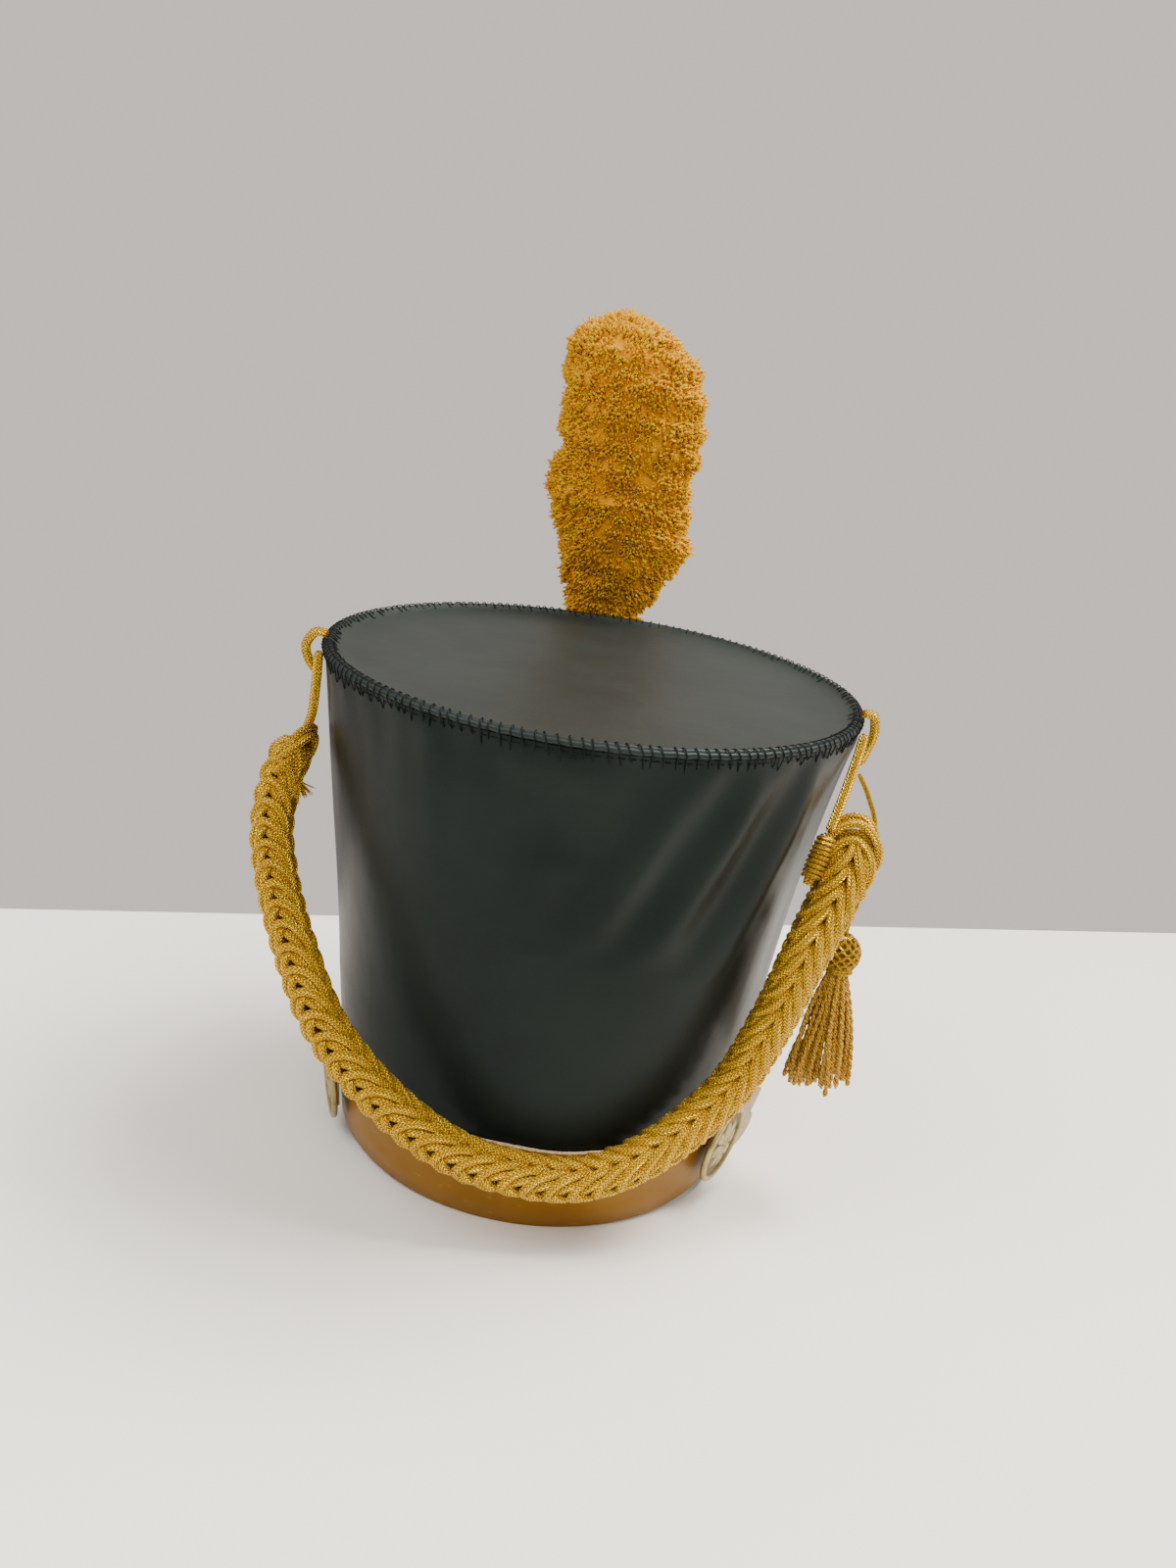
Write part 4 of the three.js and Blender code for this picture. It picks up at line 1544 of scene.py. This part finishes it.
@dataclass
class SideOrnament:
    """A round medallion with a rosette, and the forked plate behind it."""

    form: HatForm
    side: Side
    radius: float = 19 * MM
    back: float = 3.9 * MM
    petals: int = 8

    def place(self) -> Matrix:
        """Matrix from the ornament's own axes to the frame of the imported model."""
        _, _, angle, z = self.side.value
        outward = self.form.direction(angle)
        flare = math.atan2(self.form.top_radius - self.form.rim_radius, self.form.height)
        normal = outward * math.cos(flare) - Vector((0, 0, math.sin(flare)))
        upward = outward * math.sin(flare) + Vector((0, 0, math.cos(flare)))
        across = upward.cross(normal)
        turn = Matrix((across, upward, normal)).transposed().to_4x4()
        spot = outward * self.form.radius(z) + Vector((0, 0, z))
        return self.form.rest() @ Matrix.Translation(spot) @ turn

    def relief(self, x: float, y: float) -> float:
        """Height of the medallion's relief over its face, in millimetres.

        Args:
            x: Place across, in millimetres.
            y: Place upward, in millimetres.

        Returns:
            The height above the sunk ground.
        """
        radius = math.hypot(x, y)
        turn = math.atan2(y, x)
        rim = 1.3 * math.exp(-(((radius - 17.6) / 1.15) ** 4))
        beads = 0.35 * math.exp(-(((radius - 15.2) / 0.55) ** 2)) * (0.5 + 0.5 * math.cos(turn * 40.0))
        lobe = abs(math.cos(turn * self.petals / 2.0))
        reach = 5.2 + 7.6 * lobe**0.6
        inside = 1.0 / (1.0 + math.exp((radius - reach) * 2.4))
        vein = 0.22 * math.exp(-((math.sin(turn * self.petals / 2.0) * radius / 0.8) ** 2)) * inside
        petal = inside * (0.55 + 0.75 * math.sin(min(1.0, radius / 12.0) * math.pi) * lobe**0.8) - vein
        leaf_lobe = abs(math.sin(turn * self.petals / 2.0))
        leaf = 0.45 * math.exp(-(((radius - 12.2) / 1.7) ** 2)) * leaf_lobe**10
        notches = 0.2 * math.exp(-((radius / 2.2) ** 2)) * math.cos(turn * 6.0)
        boss = 1.5 * math.exp(-((radius / 2.5) ** 4)) + notches
        return rim + beads + max(petal, leaf) + boss

    def medallion(self) -> bpy.types.Object:
        """The medallion, spun from its profile and pressed into relief."""
        ground, size = self.back + 1.4 * MM, self.radius
        face_rows = [(share * 18.4 * MM, ground) for share in np.linspace(0.0, 1.0, 44)]
        profile = [
            (0, 0.6 * MM), (3.2 * MM, 0.6 * MM), (4.0 * MM, 1.4 * MM), (4.0 * MM, self.back),
            (size - 0.8 * MM, self.back), (size - 0.1 * MM, self.back + 0.5 * MM),
            (size, self.back + 1.3 * MM),
            (size - 0.15 * MM, self.back + 2.1 * MM), *reversed(face_rows),
        ]
        piece = spun(f"medallion_relief_{self.side.value[0]}", profile, 160)
        hollow = []
        for vertex in piece.data.vertices:
            rise = 0.0
            if abs(vertex.co.z - ground) < 0.01 * MM:
                rise = self.relief(vertex.co.x / MM, vertex.co.y / MM)
                vertex.co.z += rise * MM
                hollow.append(max(0.0, 1.0 - rise / 0.9))
            else:
                hollow.append(0.15)
        layer = piece.data.attributes.new("hollow", "FLOAT", "POINT")
        layer.data.foreach_set("value", np.array(hollow, np.float32))
        return piece

    def plate(self) -> bpy.types.Object:
        """The forked plate, rounded at its edges."""
        word = self.side.value[0]
        mesh = frame["nodes"][f"side_plate_{word}"].data.copy()
        piece = bpy.data.objects.new(f"leaf_plate_{word}", mesh)
        bpy.context.scene.collection.objects.link(piece)
        mesh.materials.clear()
        with editing(piece):
            bpy.ops.mesh.select_all(action="SELECT")
            bpy.ops.mesh.remove_doubles(threshold=0.01 * MM)
            bpy.ops.mesh.dissolve_limited(angle_limit=math.radians(2.0))
        apply_modifier(
            piece, "BEVEL", width=0.35 * MM, segments=3, limit_method="ANGLE", angle_limit=math.radians(50)
        )
        apply_modifier(piece, "TRIANGULATE")
        layer = piece.data.attributes.new("hollow", "FLOAT", "POINT")
        layer.data.foreach_set("value", np.full(len(piece.data.vertices), 0.12, np.float32))
        return piece

    def build(self, fitter: Fitter) -> None:
        """Builds and fits the medallion and its plate."""
        word = self.side.value[0]
        fitter.fit(self.medallion(), [Finish.PALE_GOLD], [f"medallion_{word}"], self.place())
        fitter.fit(self.plate(), [Finish.BRONZE_PLATE], [f"side_plate_{word}"], crease=35.0)


# --------------------------------------------------------------------------------------------------
# Table, light and camera
# --------------------------------------------------------------------------------------------------


@dataclass(frozen=True)
class SoftLight:
    """A square soft light: where it stands, its size in metres, its power in watts and its colour."""

    name: str
    place: Point
    size: float
    power: float
    colour: Colour


@dataclass
class Studio:
    """The table, the lights and the camera at the height and turn of the view."""

    form: HatForm
    lights: tuple[SoftLight, ...] = (
        SoftLight("key_light", (-0.95, -0.15, 2.2), 1.2, 125.0, (1.0, 0.965, 0.91)),
        SoftLight("fill_light", (1.5, 1.0, 2.0), 1.4, 50.0, (0.98, 0.985, 1.0)),
        SoftLight("front_light", (-0.3, 1.6, 1.3), 0.8, 16.0, (1.0, 0.98, 0.95)),
    )
    wall_light: Colour = (0.79, 0.72, 0.67)
    room_dark: Colour = (0.38, 0.385, 0.38)
    camera_place: Point = (-0.0043, 0.5467, 0.2986)
    camera_forward: Point = (0.0, -0.9758, -0.2189)
    camera_up: Point = (0.1485, -0.2165, 0.9650)
    lens: float = 27.0
    # The table's far edge passes this point at this turn in degrees; the table comes forward from it.
    table_edge: tuple[float, float] = (-0.02, -0.31)
    table_turn: float = 21.1
    table_size: tuple[float, float] = (4.4, 1.9)

    def camera(self) -> None:
        """The camera, a little above the hat and leaned over to one side."""
        data = bpy.data.cameras.new("view_camera")
        data.lens = self.lens
        data.sensor_width = 36.0
        data.clip_start = 0.01
        camera = bpy.data.objects.new("view_camera", data)
        bpy.context.scene.collection.objects.link(camera)
        forward = Vector(self.camera_forward).normalized()
        upward = (Vector(self.camera_up) - forward * forward.dot(Vector(self.camera_up))).normalized()
        across = forward.cross(upward)
        turn = Matrix((across, upward, -forward)).transposed().to_4x4()
        camera.matrix_world = Matrix.Translation(Vector(self.camera_place)) @ turn
        bpy.context.scene.camera = camera

    def table(self, palette: Palette) -> None:
        """The table top, whose far edge runs aslant behind the hat."""
        deselect_all()
        bpy.ops.mesh.primitive_plane_add(size=1.0, location=(0, 0, 0))
        table = bpy.context.active_object
        table.name = "table"
        wide, deep = self.table_size
        turn = Matrix.Rotation(math.radians(self.table_turn), 3, "Z")
        edge = Vector((*self.table_edge, 0.0))
        shaped(table, lambda co: edge + turn @ Vector((co.x * wide, (co.y + 0.5) * deep, 0.0)))
        table.data.materials.append(palette.material(Finish.TABLE))

    def light(self) -> None:
        """The soft lights and the even light of the room."""
        world = bpy.data.worlds.new("room")
        graph = Graph(world)
        forward = graph.axis(graph.node("ShaderNodeTexCoord").outputs["Generated"], "Y")
        colour = graph.mix(forward.between(-0.1, 0.75), self.wall_light, self.room_dark)
        background = graph.node("ShaderNodeBackground", None, {"Color": colour, "Strength": 1.0})
        graph.node("ShaderNodeOutputWorld", None, {"Surface": background.outputs[0]})
        bpy.context.scene.world = world
        for light in self.lights:
            data = bpy.data.lights.new(light.name, "AREA")
            data.size = light.size
            data.energy = light.power
            data.color = light.colour
            lamp = bpy.data.objects.new(light.name, data)
            bpy.context.scene.collection.objects.link(lamp)
            place = Vector(light.place)
            way = Vector((0, 0, 0.15)) - place
            lamp.matrix_world = Matrix.Translation(place) @ way.to_track_quat("-Z", "Y").to_matrix().to_4x4()


def main() -> None:
    """Builds the studio and every part of the hat in order."""
    logging.basicConfig(level=logging.INFO, format="%(name)s %(message)s")
    form = HatForm()
    palette = Palette()
    fitter = Fitter(form, palette)
    studio = Studio(form)
    studio.camera()
    deselect_all()
    Festoon(form).build(fitter)
    Tassel(form).build(fitter)
    Crown(form).build(fitter)
    HeadBand(form).build(fitter)
    for part in Softened:
        part.build(fitter)
    for side in Side:
        SideOrnament(form, side).build(fitter)
    Plume(form).build(fitter)
    studio.table(palette)
    studio.light()


if __name__ == "__main__":
    main()
